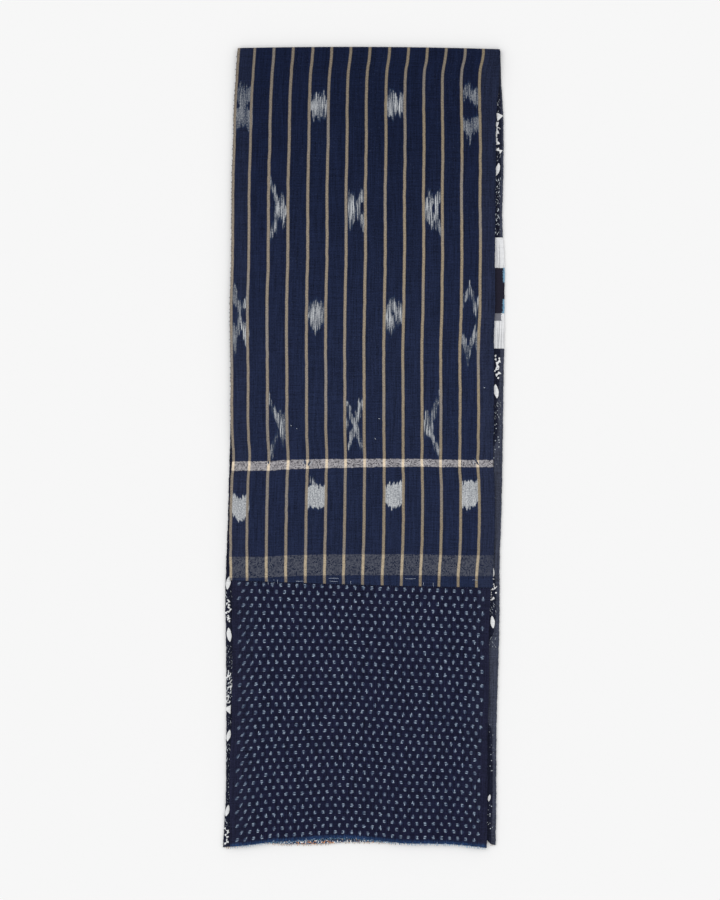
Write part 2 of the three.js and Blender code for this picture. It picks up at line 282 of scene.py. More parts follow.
# How far the weft bands dip, by the place across
WEFT_DIPS = rows_of(
    Reading,
    (-160, 2.8), (-112, 2.6), (-94, 1.2), (-34, 0.0), (80, 0.0), (95, 0.8), (158, 1.2),
)


def curve_through(places: Array, values: Array, at: Array) -> Array:
    """Reads a smooth curve through a table's points, level beyond its ends.

    Args:
        places: The table's places, rising.
        values: The curve's values at those places.
        at: Where the curve is read.

    Returns:
        The curve's value at each place of at.
    """
    at = np.clip(np.asarray(at, float), places[0], places[-1])
    last = len(places) - 1
    lower = np.clip(np.searchsorted(places, at, side="right") - 1, 0, last - 1)
    upper = lower + 1
    before = np.maximum(lower - 1, 0)
    after = np.minimum(upper + 1, last)
    width = places[upper] - places[lower]
    share = (at - places[lower]) / width
    slope_from = (values[upper] - values[before]) / (places[upper] - places[before]) * width
    slope_to = (values[after] - values[lower]) / (places[after] - places[lower]) * width
    square, cube = share**2, share**3
    return (
        (2 * cube - 3 * square + 1) * values[lower]
        + (cube - 2 * square + share) * slope_from
        + (3 * square - 2 * cube) * values[upper]
        + (cube - square) * slope_to
    )


def read_table(rows: tuple, column: str, at: Array) -> Array:
    """Reads one column of a table, on a smooth curve over the table's first column.

    Args:
        rows: The table's rows.
        column: The column that is read.
        at: The places where it is read.

    Returns:
        The column's value at each place.
    """
    places = np.array([row[0] for row in rows], float)
    values = np.array([getattr(row, column) for row in rows], float)
    return curve_through(places, values, at)


def table_at(rows: tuple, column: str, place: float) -> float:
    """Reads one column of a table at a single place."""
    return float(read_table(rows, column, np.array(place)))


def hem_line(across: Array) -> Array:
    """How far down the striped panel's raw hem lies, at each place across."""
    return read_table(STRIPED_HEM, "value", across)


def edges_at(rows: tuple, down: Array, inset: float = 0.0) -> Arrays:
    """The left and right edges at each distance down, drawn in by an inset."""
    return read_table(rows, "left", down) + inset, read_table(rows, "right", down) - inset


def smooth_step(value: Array, low: float, high: float) -> Array:
    """Rises smoothly from 0 where the value is low to 1 where it is high."""
    share = np.clip((value - low) / (high - low), 0.0, 1.0)
    return share * share * (3 - 2 * share)


def waver(along: Array, seed: int) -> Array:
    """A small uneven wave, as on the edge of hand-woven cloth.

    Args:
        along: The distances along the edge.
        seed: Which edge's wave this is.

    Returns:
        The wave's height at each distance, within about 1 either way.
    """
    chance = random.Random(seed)
    wave = np.zeros_like(along, dtype=float)
    for period, height in WAVES:
        wave += height * np.sin(2 * math.pi * (along / period + chance.random()))
    return wave


def crest_drop(across: Array) -> Array:
    """How far the crest of the fold falls short of its highest point, at each place across."""
    drop = np.where(across < CREST_ACROSS, CREST_DROP_LEFT, CREST_DROP_RIGHT)
    return drop * ((across - CREST_ACROSS) / SCARF_HALF_WIDTH) ** 2


def fold_line(across: Array) -> Array:
    """How far down the round of the fold starts, at each place across."""
    return FOLD_RADIUS + crest_drop(across)


def crease_height(creases: tuple[Crease, ...], across: Array, down: Array) -> Array:
    """The height that soft creases add at each point.

    Args:
        creases: The creases.
        across: Places across the scarf.
        down: Distances down, of the same shape.

    Returns:
        The added height at each point.
    """
    height = np.zeros_like(across)
    for crease in creases:
        cos, sin = math.cos(crease.turn), math.sin(crease.turn)
        along = (across - crease.across) * cos + (down - crease.down) * sin
        aside = (down - crease.down) * cos - (across - crease.across) * sin
        fade = np.exp(-((along / crease.half_length) ** 4))
        height += crease.height * fade * np.exp(-((aside / crease.half_width) ** 2))
    return height


def swell(across: Array, down: Array) -> Array:
    """How high the upper plies stand above a flat stack.

    Args:
        across: Places across the scarf.
        down: Distances down, of the same shape.

    Returns:
        The height of the roll of the fold, the soft rises and the creases together.
    """
    height = FOLD_ROLL * np.exp(-(((down - FOLD_RADIUS) / FOLD_ROLL_LENGTH) ** 2))
    for rise in RISES:
        sideways = (across - rise.across) / rise.half_width
        lengthways = (down - rise.down) / rise.half_length
        height += rise.height * np.exp(-(sideways**2) - lengthways**2)
    return height + crease_height(CREASES, across, down)


def hem_step(across: Array, down: Array) -> Array:
    """How far the striped panel steps up where its hem lies on the dotted panel."""
    slope_end = hem_line(across) - HEM_TUCK - HEM_MARGIN
    return HEM_RISE * smooth_step(down - slope_end, -HEM_SLOPE, 0.0)


class PlyGrid(NamedTuple):
    """The points of a laid ply, as arrays with a row for each line across the scarf."""

    across: Array
    down: Array
    turn: Array
    places: Array


@dataclass(frozen=True)
class LaidCloth:
    """A ply of cloth laid on the folded scarf's form, as a thin shell over a fine grid."""

    name: str = ""
    slot: str = ""
    cut_width: float = 0.0
    cut_length: float = 0.0
    start: float = FOLD_RADIUS
    back_stops: Stops = ()
    front_stops: Stops = ()
    back_edges: tuple[Edge, ...] = ()
    front_edges: tuple[Edge, ...] = ()
    back_inset: float = 0.0
    front_inset: float = 0.0
    depth: float = 0.0
    thickness: float = CLOTH
    columns: int = 40
    fold_steps: int = 16
    roll_drop: float = 0.0
    rim_bevel: float = 0.22
    rim_angle: float = 60.0
    waver_height: float = 0.3
    waver_reach: float = 3.0
    waver_seed: int = 1

    def shares(self) -> Array:
        """The places of the columns, as shares of the width."""
        return np.linspace(0.0, 1.0, self.columns + 1)

    def edges(self, nominal: Array, turn: Array) -> Arrays:
        """The cloth's left and right edges on each row, from the tables of its two halves."""
        back = edges_at(self.back_edges, nominal, self.back_inset)
        return blended_edges(edges_at(self.front_edges, nominal, self.front_inset), back, turn)

    def span(self, turn: Array) -> tuple[float, Array | float]:
        """The nominal distances down of the rows nearest to the fold and farthest from it."""
        return self.start, END_NOMINAL

    def limits(self, across: Array, turn: Array) -> tuple[Array | float, Array]:
        """The real distances down of those two rows."""
        raise NotImplementedError

    def fit_down(self, across: Array, nominal: Array, turn: Array) -> Array:
        """Fits the rows between the lines that the cloth runs to.

        Args:
            across: Each point's place across.
            nominal: Its nominal distance down.
            turn: Its turn round the fold.

        Returns:
            Its real distance down.
        """
        first, last = self.span(turn)
        start, end = self.limits(across, turn)
        return start + (nominal - first) / (last - first) * (end - start)

    def lift(self, across: Array, down: Array, turn: Array) -> Array:
        """The height that this ply alone adds at each point."""
        return np.zeros_like(across)

    def edge_roll(self, share: Array, width: Array, turn: Array) -> Array:
        """How far the front's side edges roll down at each point."""
        from_edge = np.minimum(share, 1 - share) * width
        return self.roll_drop * (1 - smooth_step(from_edge, 0.0, ROLL_WIDTH)) * (turn == math.pi)

    def cloth_uv(self, grid: PlyGrid, share: Array) -> Arrays:
        """The cloth's own coordinates at each point, from 0 to 1."""
        rows = np.linspace(0.0, 1.0, grid.across.shape[0])[:, None]
        return np.broadcast_to(share, grid.across.shape), np.broadcast_to(rows, grid.across.shape)

    def marks(self, grid: PlyGrid) -> Marks:
        """The named values that the finish reads at each point, such as a dyed pattern."""
        return {}

    def flat_size(self) -> tuple[float, float]:
        """The width and length of the cut cloth in metres."""
        return self.cut_width * MM, self.cut_length * MM

    def rows(self) -> Arrays:
        """The rows from the back half's far end, round the fold, to the front's end.

        Returns:
            The nominal distance down and the turn of each row, as columns.
        """
        back, front = steps_between(self.back_stops), steps_between(self.front_stops)
        nominal, turn = list(back), [0.0] * len(back)
        if back and front:
            for step in range(1, self.fold_steps):
                nominal.append(FOLD_RADIUS)
                turn.append(math.pi * step / self.fold_steps)
        nominal += front
        turn += [math.pi] * len(front)
        return np.array(nominal)[:, None], np.array(turn)[:, None]

    def grid(self) -> PlyGrid:
        """Places every point of the ply.

        Returns:
            The grid of points.
        """
        nominal, turn = self.rows()
        left, right = self.edges(nominal, turn)
        share = self.shares()[None, :]
        width = right - left
        across = left + share * width
        turn = np.broadcast_to(turn, across.shape)
        down = self.fit_down(across, np.broadcast_to(nominal, across.shape), turn)
        side = np.exp(-share * width / self.waver_reach) - np.exp(-(1 - share) * width / self.waver_reach)
        across = across - self.waver_height * side * waver(down, self.waver_seed)
        radius = FOLD_RADIUS - self.depth
        rise = np.where(turn == math.pi, swell(across, down) - FOLD_ROLL, 0.0)
        height = FOLD_RADIUS - radius * np.cos(turn) + rise
        height = height + self.lift(across, down, turn) - self.edge_roll(share, width, turn)
        along = MIDDLE_DOWN - down + radius * np.sin(turn)
        places = np.stack([across, along, height], axis=-1) * MM
        return PlyGrid(across, down, turn, places)

    def build(self, finish: Material) -> Piece:
        """Builds the cloth as a thin closed shell and dresses it.

        Args:
            finish: The material that it wears.

        Returns:
            The finished piece, riding on the scarf's body.
        """
        grid = self.grid()
        row_count, column_count = grid.across.shape
        mesh = bpy.data.meshes.new(self.name)
        shaper = bmesh.new()
        bmesh.ops.create_grid(shaper, x_segments=column_count - 1, y_segments=row_count - 1, size=0.5)
        bmesh.ops.reverse_faces(shaper, faces=shaper.faces)
        shaper.to_mesh(mesh)
        shaper.free()
        spots = np.empty(len(mesh.vertices) * 3)
        mesh.vertices.foreach_get("co", spots)
        spots = spots.reshape(-1, 3) + 0.5
        row = np.rint(spots[:, 1] * (row_count - 1)).astype(int)
        column = np.rint(spots[:, 0] * (column_count - 1)).astype(int)
        mesh.vertices.foreach_set("co", grid.places[row, column].ravel())
        self.add_uv(mesh, grid, row, column)
        for name, values in self.marks(grid).items():
            layer = mesh.attributes.new(name, "FLOAT", "POINT")
            layer.data.foreach_set("value", values[row, column].astype(np.float32))
        mesh.materials.append(finish)
        mesh.shade_smooth()
        mesh.update()
        return self.close(mesh)

    def add_uv(self, mesh: Mesh, grid: PlyGrid, row: Array, column: Array) -> None:
        """Lays the cloth's own coordinates on the mesh.

        Args:
            mesh: The mesh.
            grid: The ply's points.
            row: Each vertex's row.
            column: Each vertex's column.
        """
        across, along = self.cloth_uv(grid, self.shares()[None, :])
        corners = np.empty(len(mesh.loops), int)
        mesh.loops.foreach_get("vertex_index", corners)
        layer = mesh.uv_layers.new(name="cloth")
        values = np.stack([across[row, column], along[row, column]], axis=-1)
        layer.data.foreach_set("uv", values[corners].astype(np.float32).ravel())

    def close(self, mesh: Mesh) -> Piece:
        """Gives the cloth its thickness and soft rims, and hands it to the scarf.

        Args:
            mesh: The outer face of the cloth.

        Returns:
            The piece.
        """
        piece = placed(self.name, mesh)
        shell = piece.modifiers.new("thickness", "SOLIDIFY")
        shell.thickness = self.thickness * MM
        shell.offset = -1.0
        shell.use_even_offset = False
        rim = piece.modifiers.new("soft rim", "BEVEL")
        rim.width = self.rim_bevel * MM
        rim.segments = 2
        rim.limit_method = "ANGLE"
        rim.angle_limit = math.radians(self.rim_angle)
        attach(piece, ROOT)
        return piece


def steps_between(stops: Stops) -> list[float]:
    """Divides a run of stops into even steps.

    Args:
        stops: Each stop's place and the longest step up to it.

    Returns:
        The places of all the steps, the stops among them, or none where there are no stops.
    """
    places = [place for place, _ in stops[:1]]
    for (start, _), (end, step) in zip(stops, stops[1:]):
        count = max(1, math.ceil(abs(end - start) / step))
        places += [start + (end - start) * number / count for number in range(1, count + 1)]
    return places


def blended_edges(front: Arrays, back: Arrays, turn: Array) -> Arrays:
    """The edges of a ply that runs round the fold, from those of its two halves."""
    share = (1 - np.cos(turn)) / 2
    return tuple(on_back + share * (on_front - on_back) for on_front, on_back in zip(front, back))


class DyedBand(NamedTuple):
    """A resist-dyed stretch of the warp in one gap, or with a tone of nought a dark hole in one.

    Each point holds a share of the gap between two stripes, and the band's top and bottom there.
    """

    gap: int
    tone: float
    points: tuple[Spot, ...]


# The chart of the dyed bands: the row of the fold's crest, and the millimetres between rows
CHART_TOP = 46.5
CHART_SCALE = 1.2


def dyed(gap: int, tone: float, *points: Spot) -> DyedBand:
    """A dyed band in distances down, from the share and the two chart rows of each of its points."""
    downs = ((share, *((row - CHART_TOP) * CHART_SCALE for row in rows)) for share, *rows in points)
    return DyedBand(gap, tone, tuple(downs))


HOLE = 0.0

DYED_BANDS = (
    # the first row: notched, solid, solid and split
    dyed(
        0, 0.36, (0.0, 84, 131), (0.3, 81, 128), (0.46, 87, 125), (0.56, 88, 125), (0.75, 86, 129),
        (1.0, 85, 135),
    ),
    dyed(0, HOLE, (0.02, 102, 107), (0.24, 103, 108)),
    dyed(0, HOLE, (0.64, 104, 108), (0.96, 102, 109)),
    dyed(4, 0.80, (0.02, 97, 114), (0.3, 92, 120), (0.5, 91, 122), (0.75, 93, 120), (0.98, 97, 114)),
    dyed(
        8, 0.68, (0.02, 94, 120), (0.3, 90, 121), (0.5, 92, 118), (0.65, 95, 113), (0.82, 94, 119),
        (0.98, 93, 119),
    ),
    dyed(
        12, 0.50, (0.02, 86, 100), (0.28, 84, 100), (0.44, 80, 100), (0.56, 90, 103),
        (0.74, 86, 107), (0.98, 90, 102),
    ),
    dyed(
        12, 0.50, (0.02, 117, 131), (0.28, 118, 137), (0.44, 123, 143), (0.56, 117, 134),
        (0.74, 115, 131), (0.98, 117, 137),
    ),
    # the second row: a point to the right, a waisted cross and a ring
    dyed(2, 0.72, (0.06, 174, 188), (0.22, 181, 198), (0.4, 190, 206)),
    dyed(
        2, 0.76, (0.34, 202, 224), (0.48, 195, 223), (0.62, 196, 218), (0.74, 190, 231),
        (0.86, 199, 222), (0.98, 203, 217),
    ),
    dyed(2, 0.72, (0.04, 230, 248), (0.2, 221, 238), (0.42, 210, 231)),
    dyed(
        6, 0.70, (0.04, 201, 222), (0.18, 188, 230), (0.32, 191, 226), (0.5, 198, 218),
        (0.66, 194, 221), (0.8, 188, 229), (0.98, 188, 232),
    ),
    dyed(6, HOLE, (0.76, 204, 211), (0.98, 202, 212)),
    dyed(
        10, 0.68, (0.04, 197, 219), (0.24, 193, 226), (0.45, 189, 231), (0.58, 197, 223),
        (0.74, 190, 231), (0.98, 185, 242),
    ),
    dyed(10, HOLE, (0.48, 206, 211), (0.6, 205, 213)),
    dyed(10, HOLE, (0.84, 203, 221), (0.98, 199, 224)),
    # the third row: a thin cross, a block, a ring and a long open lozenge
    dyed(0, 0.52, (0.02, 286, 300), (0.2, 281, 309), (0.36, 291, 303)),
    dyed(0, 0.62, (0.38, 300, 335), (0.55, 299, 333), (0.72, 299, 338), (0.98, 295, 352)),
    dyed(0, 0.50, (0.02, 318, 344), (0.22, 325, 356), (0.4, 322, 336)),
    dyed(0, HOLE, (0.64, 311, 320), (0.98, 309, 322)),
    dyed(
        4, 0.77, (0.02, 304, 322), (0.3, 301, 327), (0.48, 295, 334), (0.65, 301, 329),
        (0.98, 303, 322),
    ),
    dyed(
        8, 0.80, (0.02, 309, 325), (0.18, 299, 333), (0.34, 295, 336), (0.54, 297, 330),
        (0.62, 303, 325), (0.98, 300, 322),
    ),
    dyed(8, HOLE, (0.34, 311, 317), (0.52, 311, 315)),
    dyed(
        12, 0.66, (0.02, 300, 308), (0.3, 286, 302), (0.46, 279, 297), (0.58, 289, 302),
        (0.78, 301, 318), (0.98, 290, 306),
    ),
    dyed(
        12, 0.66, (0.02, 328, 345), (0.25, 336, 354), (0.46, 343, 367), (0.58, 337, 356),
        (0.78, 322, 345), (0.98, 333, 354),
    ),
    # the fourth row: thin strokes
    dyed(
        2, 0.66, (0.0, 388, 400), (0.2, 399, 411), (0.44, 409, 423), (0.6, 412, 434),
        (0.76, 411, 440), (0.98, 416, 438),
    ),
    dyed(
        2, 0.62, (0.0, 450, 463), (0.22, 440, 454), (0.45, 430, 440), (0.6, 428, 437),
        (0.74, 431, 446), (0.9, 432, 440),
    ),
    dyed(
        6, 0.57, (0.0, 396, 408), (0.25, 403, 417), (0.42, 411, 425), (0.52, 413, 436),
        (0.66, 420, 440), (0.78, 434, 448), (0.94, 441, 459),
    ),
    dyed(
        6, 0.65, (0.12, 441, 456), (0.28, 433, 449), (0.42, 426, 440), (0.52, 412, 436),
        (0.66, 406, 426), (0.8, 398, 415), (0.98, 395, 408),
    ),
    dyed(6, 0.72, (0.08, 416, 432), (0.2, 414, 434)),
    dyed(10, 0.56, (0.04, 413, 429), (0.24, 409, 440), (0.45, 414, 435), (0.6, 419, 435)),
    dyed(10, 0.58, (0.42, 411, 424), (0.6, 404, 420), (0.76, 398, 414), (0.98, 387, 402)),
    dyed(10, 0.58, (0.46, 423, 439), (0.64, 432, 449), (0.78, 438, 456), (0.98, 445, 463)),
    # the fifth row: blocks
    dyed(
        0, 1.15, (0.0, 490, 512), (0.25, 494, 518), (0.45, 498, 521), (0.7, 496, 521),
        (1.0, 492, 517),
    ),
    dyed(4, 1.15, (0.0, 484, 507), (0.3, 482, 507), (0.6, 485, 509), (1.0, 483, 506)),
    dyed(4, 0.5, (0.17, 472, 486), (0.21, 472, 486)),
    dyed(4, 0.5, (0.34, 476, 486), (0.38, 476, 486)),
    dyed(8, 1.15, (0.0, 485, 502), (0.3, 483, 508), (0.6, 483, 508), (1.0, 478, 502)),
    dyed(12, 1.15, (0.0, 483, 506), (0.4, 480, 509), (0.7, 481, 506), (1.0, 478, 501)),
)
NO_DYE = -20.0
BAND_MARGIN = 0.02
HOLE_SLOPE = -2


def overlay(field: Array, tone: Array, depth: Array, own_tone: float) -> Arrays:
    """Lays one shape over a field, which keeps the greater depth and the tone that goes with it."""
    return np.maximum(field, depth), np.where(depth > field, own_tone, tone)


def dyed_field(bands: tuple[DyedBand, ...], stripe: Array, down: Array) -> Marks:
    """How deep each point lies in the dyed bands.

    Args:
        bands: The dyed bands.
        stripe: Each point's place across, counted in stripes from the selvedge.
        down: Each point's distance down.

    Returns:
        The depth in millimetres along the warp, below nought outside, and the tone.
    """
    field = np.full(down.shape, NO_DYE)
    tone = np.zeros(down.shape)
    for band in bands:
        shares, tops, bottoms = (np.array(column) for column in zip(*band.points))
        share = stripe - band.gap
        inside = (share >= shares[0] - BAND_MARGIN) & (share <= shares[-1] + BAND_MARGIN)
        depth = np.minimum(down - np.interp(share, shares, tops), np.interp(share, shares, bottoms) - down)
        if band.tone == HOLE:
            field = np.where(inside, np.minimum(field, HOLE_SLOPE * depth), field)
        else:
            field, tone = overlay(field, tone, np.where(inside, depth, NO_DYE), band.tone)
    return {"dye": field, "dye_tone": tone}


@dataclass(frozen=True)
class StripedPanel(LaidCloth):
    """The striped cloth: from under the back, over the fold, to its raw hem on the front."""

    name: str = "striped_cloth"
    slot: str = "striped_kasuri_cotton"
    cut_width: float = CLOTH_WIDTH
    cut_length: float = (HEM_MIDDLE - FOLD_RADIUS) + math.pi * FOLD_RADIUS + (STRIPED_RETURN - FOLD_RADIUS)
    back_stops: Stops = ((STRIPED_RETURN, 0), (FOLD_RADIUS, 6.0))
    front_stops: Stops = (
        (FOLD_RADIUS, 0), (36.0, 4.0), (576.0, 2.4),
        (SLOPE_END - HEM_SLOPE, 4.0), (SLOPE_END, 2.4), (HEM_MIDDLE, 2.4),
    )
    back_edges: tuple[Edge, ...] = BACK_EDGES
    front_edges: tuple[Edge, ...] = STRIPED_EDGES
    back_inset: float = BACK_INSET
    roll_drop: float = ROLL_DROP
    waver_seed: int = 11
    motif_columns: int = 12
    plain_columns: int = 5
    seam_columns: int = 6
    seam_step: float = 3.3
    selvedge_rim: float = 0.5
    seam_rim: float = 0.9
    dip_start: float = 380.0
    dip_end: float = 460.0

    def shares(self) -> Array:
        """Columns on every stripe, closer together in the gaps that hold dyed motifs.

        Returns:
            The columns' shares of the width.
        """
        places = [0.0, self.selvedge_rim]
        for gap, (start, end) in enumerate(zip(STRIPE_PLACES, STRIPE_PLACES[1:])):
            count = self.plain_columns if gap % 2 else self.motif_columns
            places += [start + (end - start) * step / count for step in range(count)]
        places += [STRIPE_PLACES[-1] + step * self.seam_step for step in range(self.seam_columns)]
        places += [CLOTH_WIDTH - self.seam_rim, CLOTH_WIDTH]
        return np.array(places) / CLOTH_WIDTH

    def span(self, turn: Array) -> tuple[float, Array]:
        """From the fold to the seam under the back, or to the raw hem on the front."""
        return FOLD_RADIUS, np.where(turn == 0, STRIPED_RETURN, HEM_MIDDLE)

    def limits(self, across: Array, turn: Array) -> Arrays:
        """The fold, and the seam under the back or the raw hem."""
        return fold_line(across), np.where(turn == 0, STRIPED_RETURN, hem_line(across))

    def lift(self, across: Array, down: Array, turn: Array) -> Array:
        """The step up onto the dotted panel."""
        return np.where(turn == math.pi, hem_step(across, down), 0.0)

    def stripe_index(self, down: Array) -> Array:
        """Each point's place across, counted in stripes from the selvedge.

        Args:
            down: The points' distances down.

        Returns:
            The count at each point, whole on a stripe.
        """
        places = np.array([0.0, *STRIPE_PLACES, STRIPE_PLACES[-1] + 2 * STRIPE_PITCH])
        count = np.arange(STRIPE_COUNT, dtype=float)
        counts = np.concatenate([[-STRIPE_INDEX_MARGIN], count, [STRIPE_COUNT + 1.0]])
        cloth = self.shares()[None, :] * (1 - read_table(STRIPE_DRIFT, "value", down)) * CLOTH_WIDTH
        return np.interp(cloth, places, counts)

    def along_cloth(self, grid: PlyGrid) -> Array:
        """Measures along the cloth.

        Args:
            grid: The ply's points.

        Returns:
            Each point's distance along the cloth from the crest, below nought on the back.
        """
        start = fold_line(grid.across)
        round_fold = start - FOLD_RADIUS * (math.pi - grid.turn)
        on_back = start - FOLD_RADIUS * math.pi - (grid.down - start)
        along = np.where(grid.turn == 0, on_back, round_fold)
        return np.where(grid.turn == math.pi, grid.down, along)

    def cloth_uv(self, grid: PlyGrid, share: Array) -> Arrays:
        """The stripe count across and the distance along, with the dip of the weft bands.

        Args:
            grid: The ply's points.
            share: Not used.

        Returns:
            The two coordinates at each point.
        """
        dip = read_table(WEFT_DIPS, "value", grid.across)
        dip = dip * smooth_step(grid.down, self.dip_start, self.dip_end)
        along = (self.along_cloth(grid) - dip - CLOTH_UV_START) / CLOTH_UV_SPAN
        across = (self.stripe_index(grid.down) + STRIPE_INDEX_MARGIN) / STRIPE_INDEX_SPAN
        return across, along

    def marks(self, grid: PlyGrid) -> Marks:
        """The resist-dyed motifs of the front."""
        down = np.where(grid.turn == math.pi, grid.down, -1.0)
        return dyed_field(DYED_BANDS, self.stripe_index(grid.down), down)


@dataclass(frozen=True)
class DottedPanel(LaidCloth):
    """The dotted cloth: from under the striped hem to the cut end of the front half."""

    name: str = "dotted_cloth"
    slot: str = "dotted_kasuri_cotton"
    cut_width: float = 309.0
    cut_length: float = END_NOMINAL - (HEM_MIDDLE - HEM_TUCK)
    start: float = HEM_MIDDLE - HEM_TUCK
    front_stops: Stops = ((HEM_MIDDLE - HEM_TUCK, 0), (END_NOMINAL, 3.2))
    back_edges: tuple[Edge, ...] = DOTTED_EDGES
    front_edges: tuple[Edge, ...] = DOTTED_EDGES
    columns: int = 96
    roll_drop: float = ROLL_DROP
    waver_seed: int = 23
    rims: tuple[float, float] = (0.9, 1.9)

    def shares(self) -> Array:
        """Even columns, with closer ones at the side edges."""
        near = np.array(self.rims) / CLOTH_WIDTH
        return np.unique(np.concatenate([super().shares(), near, 1 - near]))

    def limits(self, across: Array, turn: Array) -> Arrays:
        """The tucked edge and the cut end."""
        return hem_line(across) - HEM_TUCK, read_table(CUT_ENDS, "front", across)

    def cloth_uv(self, grid: PlyGrid, share: Array) -> Arrays:
        """Shares of the panel, with the rows of dots bowed a little at both sides.

        Args:
            grid: The ply's points.
            share: The columns' shares of the width.

        Returns:
            The two coordinates at each point.
        """
        tuck, end = self.limits(grid.across, grid.turn)
        along = (grid.down - tuck) / (end - tuck)
        middle = np.sin(np.clip(along, 0, 1) * math.pi)
        side = np.clip(2 * share - 1, -1, 1)
        bow = np.where(side < 0, DOT_BOW_LEFT, DOT_BOW_RIGHT) * side**2
        ahead = self.shift(grid.down, share, "left_along", "right_along")
        along = along - (bow * middle + ahead) / (END_NOMINAL - self.start)
        aside = self.shift(grid.down, share, "left", "right") / (2 * SCARF_HALF_WIDTH - DOTTED_INSET)
        return np.clip(share - aside, 0, 1), np.clip(along, 0, 1)

    def shift(self, down: Array, share: Array, left: str, right: str) -> Array:
        """How far the dots are shifted at each point, from the columns for the left and the right side."""
        at_left = read_table(DOT_SHIFTS, left, down)
        return at_left + share * (read_table(DOT_SHIFTS, right, down) - at_left)


@dataclass(frozen=True)
class BackPanel(LaidCloth):
    """The outer face of the back half, flat on the ground."""

    name: str = "back_cloth"
    slot: str = "plain_indigo_cotton"
    cut_width: float = 331.0
    cut_length: float = END_NOMINAL - (STRIPED_RETURN + SEAM_GAP) - BACK_INSET
    start: float = STRIPED_RETURN + SEAM_GAP
    back_stops: Stops = ((END_NOMINAL, 0), (STRIPED_RETURN + SEAM_GAP, 9.0))
    back_edges: tuple[Edge, ...] = BACK_EDGES
    front_edges: tuple[Edge, ...] = BACK_EDGES
    back_inset: float = BACK_INSET
    front_inset: float = BACK_INSET
    columns: int = 36
    waver_seed: int = 37

    def limits(self, across: Array, turn: Array) -> tuple[float, Array]:
        """The seam and the cut end."""
        return self.start, read_table(CUT_ENDS, "back", across) - BACK_INSET

    def lift(self, across: Array, down: Array, turn: Array) -> Array:
        """Shallow troughs of the underside, each raised a little off the ground."""
        return crease_height(BACK_CREASES, across, down)


# How wide the lining's plain right margin is, by the distance down
PRINT_MARGIN = rows_of(
    Reading,
    (0, 1.6), (90, 1.8), (225, 3.4), (372, 4.6), (430, 6.4), (470, 7.0), (505, 20.0), (610, 20.0),
    (632, 6.4), (700, 6.0), (724, 16.0), (800, 16.0), (820, 5.6), (962, 5.0),
)


class Mark(Enum):
    """The small printed figures of the lining."""

    LEAF = "leaf"
    TRIANGLE = "triangle"
    CURL = "curl"
    TWIG = "twig"
    DOT = "dot"


class Side(Enum):
    """The side of the scarf on which a strip of the lining shows."""

    LEFT = "left"
    RIGHT = "right"


class Print(NamedTuple):
    """A printed figure: its side, distance down, distance in from the edge, size and turn."""

    side: Side
    kind: Mark
    down: float
    inward: float
    size: float
    turn: float


class Run(NamedTuple):
    """A run of small figures down one strip, of a few kinds in turn and about one size."""

    side: Side
    start: float
    end: float
    kinds: tuple[Mark, ...]
    size: float


def figure_depth(kind: Mark, aside: Array, along: Array, size: float) -> Array:
    """How deep points lie in a printed figure that stands at the origin.

    Args:
        kind: The figure.
        aside: The points' places across the figure.
        along: The points' places along it.
        size: The figure's length.

    Returns:
        The depth, below nought outside.
    """
    half = size / 2
    if kind is Mark.LEAF:
        return half * 0.32 * (1 - (along / half) ** 2) - np.abs(aside)
    if kind is Mark.TRIANGLE:
        slope = (half - along) * 0.42 - np.abs(aside) * 0.9
        return np.minimum(slope, along + half)
    if kind is Mark.CURL:
        ring = 0.55 - np.abs(np.hypot(aside, along) - half * 0.7)
        return np.minimum(ring, aside + half * 0.35)
    if kind is Mark.TWIG:
        past_end = np.maximum(np.abs(along) - half, 0)
        return 0.5 - np.hypot(aside, past_end)
    return half - np.hypot(aside, along)


LONE_FIGURES = rows_of(
    Print,
    (Side.RIGHT, Mark.TRIANGLE, 85, 5.6, 9.5, 0.4),
    (Side.RIGHT, Mark.LEAF, 147, 7.0, 16.5, 0.22),
    (Side.RIGHT, Mark.LEAF, 413, 8.6, 18.0, -0.16),
    (Side.RIGHT, Mark.DOT, 541, 8.5, 1.8, 0.0),
    (Side.RIGHT, Mark.LEAF, 629, 8.3, 14.0, -0.2),
    (Side.RIGHT, Mark.LEAF, 690, 8.0, 16.0, -0.12),
    (Side.RIGHT, Mark.LEAF, 901, 8.4, 9.5, 0.15),
    (Side.LEFT, Mark.LEAF, 643, 3.2, 17.0, -0.12),
    (Side.LEFT, Mark.LEAF, 705, 4.0, 18.0, 0.1),
    (Side.LEFT, Mark.TRIANGLE, 796, 3.0, 10.0, 0.4),
    (Side.LEFT, Mark.LEAF, 826, 2.8, 15.0, -0.2),
    (Side.LEFT, Mark.LEAF, 916, 2.6, 15.0, -0.16),
)

RUNS = rows_of(
    Run,
    (Side.RIGHT, 94, 128, (Mark.TRIANGLE, Mark.CURL, Mark.TRIANGLE), 6.4),
    (Side.RIGHT, 371, 398, (Mark.TRIANGLE, Mark.DOT, Mark.TRIANGLE), 4.4),
    (Side.RIGHT, 638, 666, (Mark.TRIANGLE, Mark.CURL, Mark.DOT), 4.2),
    (Side.LEFT, 664, 690, (Mark.CURL, Mark.TRIANGLE, Mark.DOT), 3.4),
    (Side.LEFT, 750, 788, (Mark.TWIG, Mark.CURL), 5.0),
    (Side.LEFT, 938, 957, (Mark.TRIANGLE, Mark.DOT), 3.2),
)


class FineZone(NamedTuple):
    """A stretch of a strip with fine print: thin slanting lines, or small dots."""

    side: Side
    lines: float
    dots: float
    start: float
    end: float


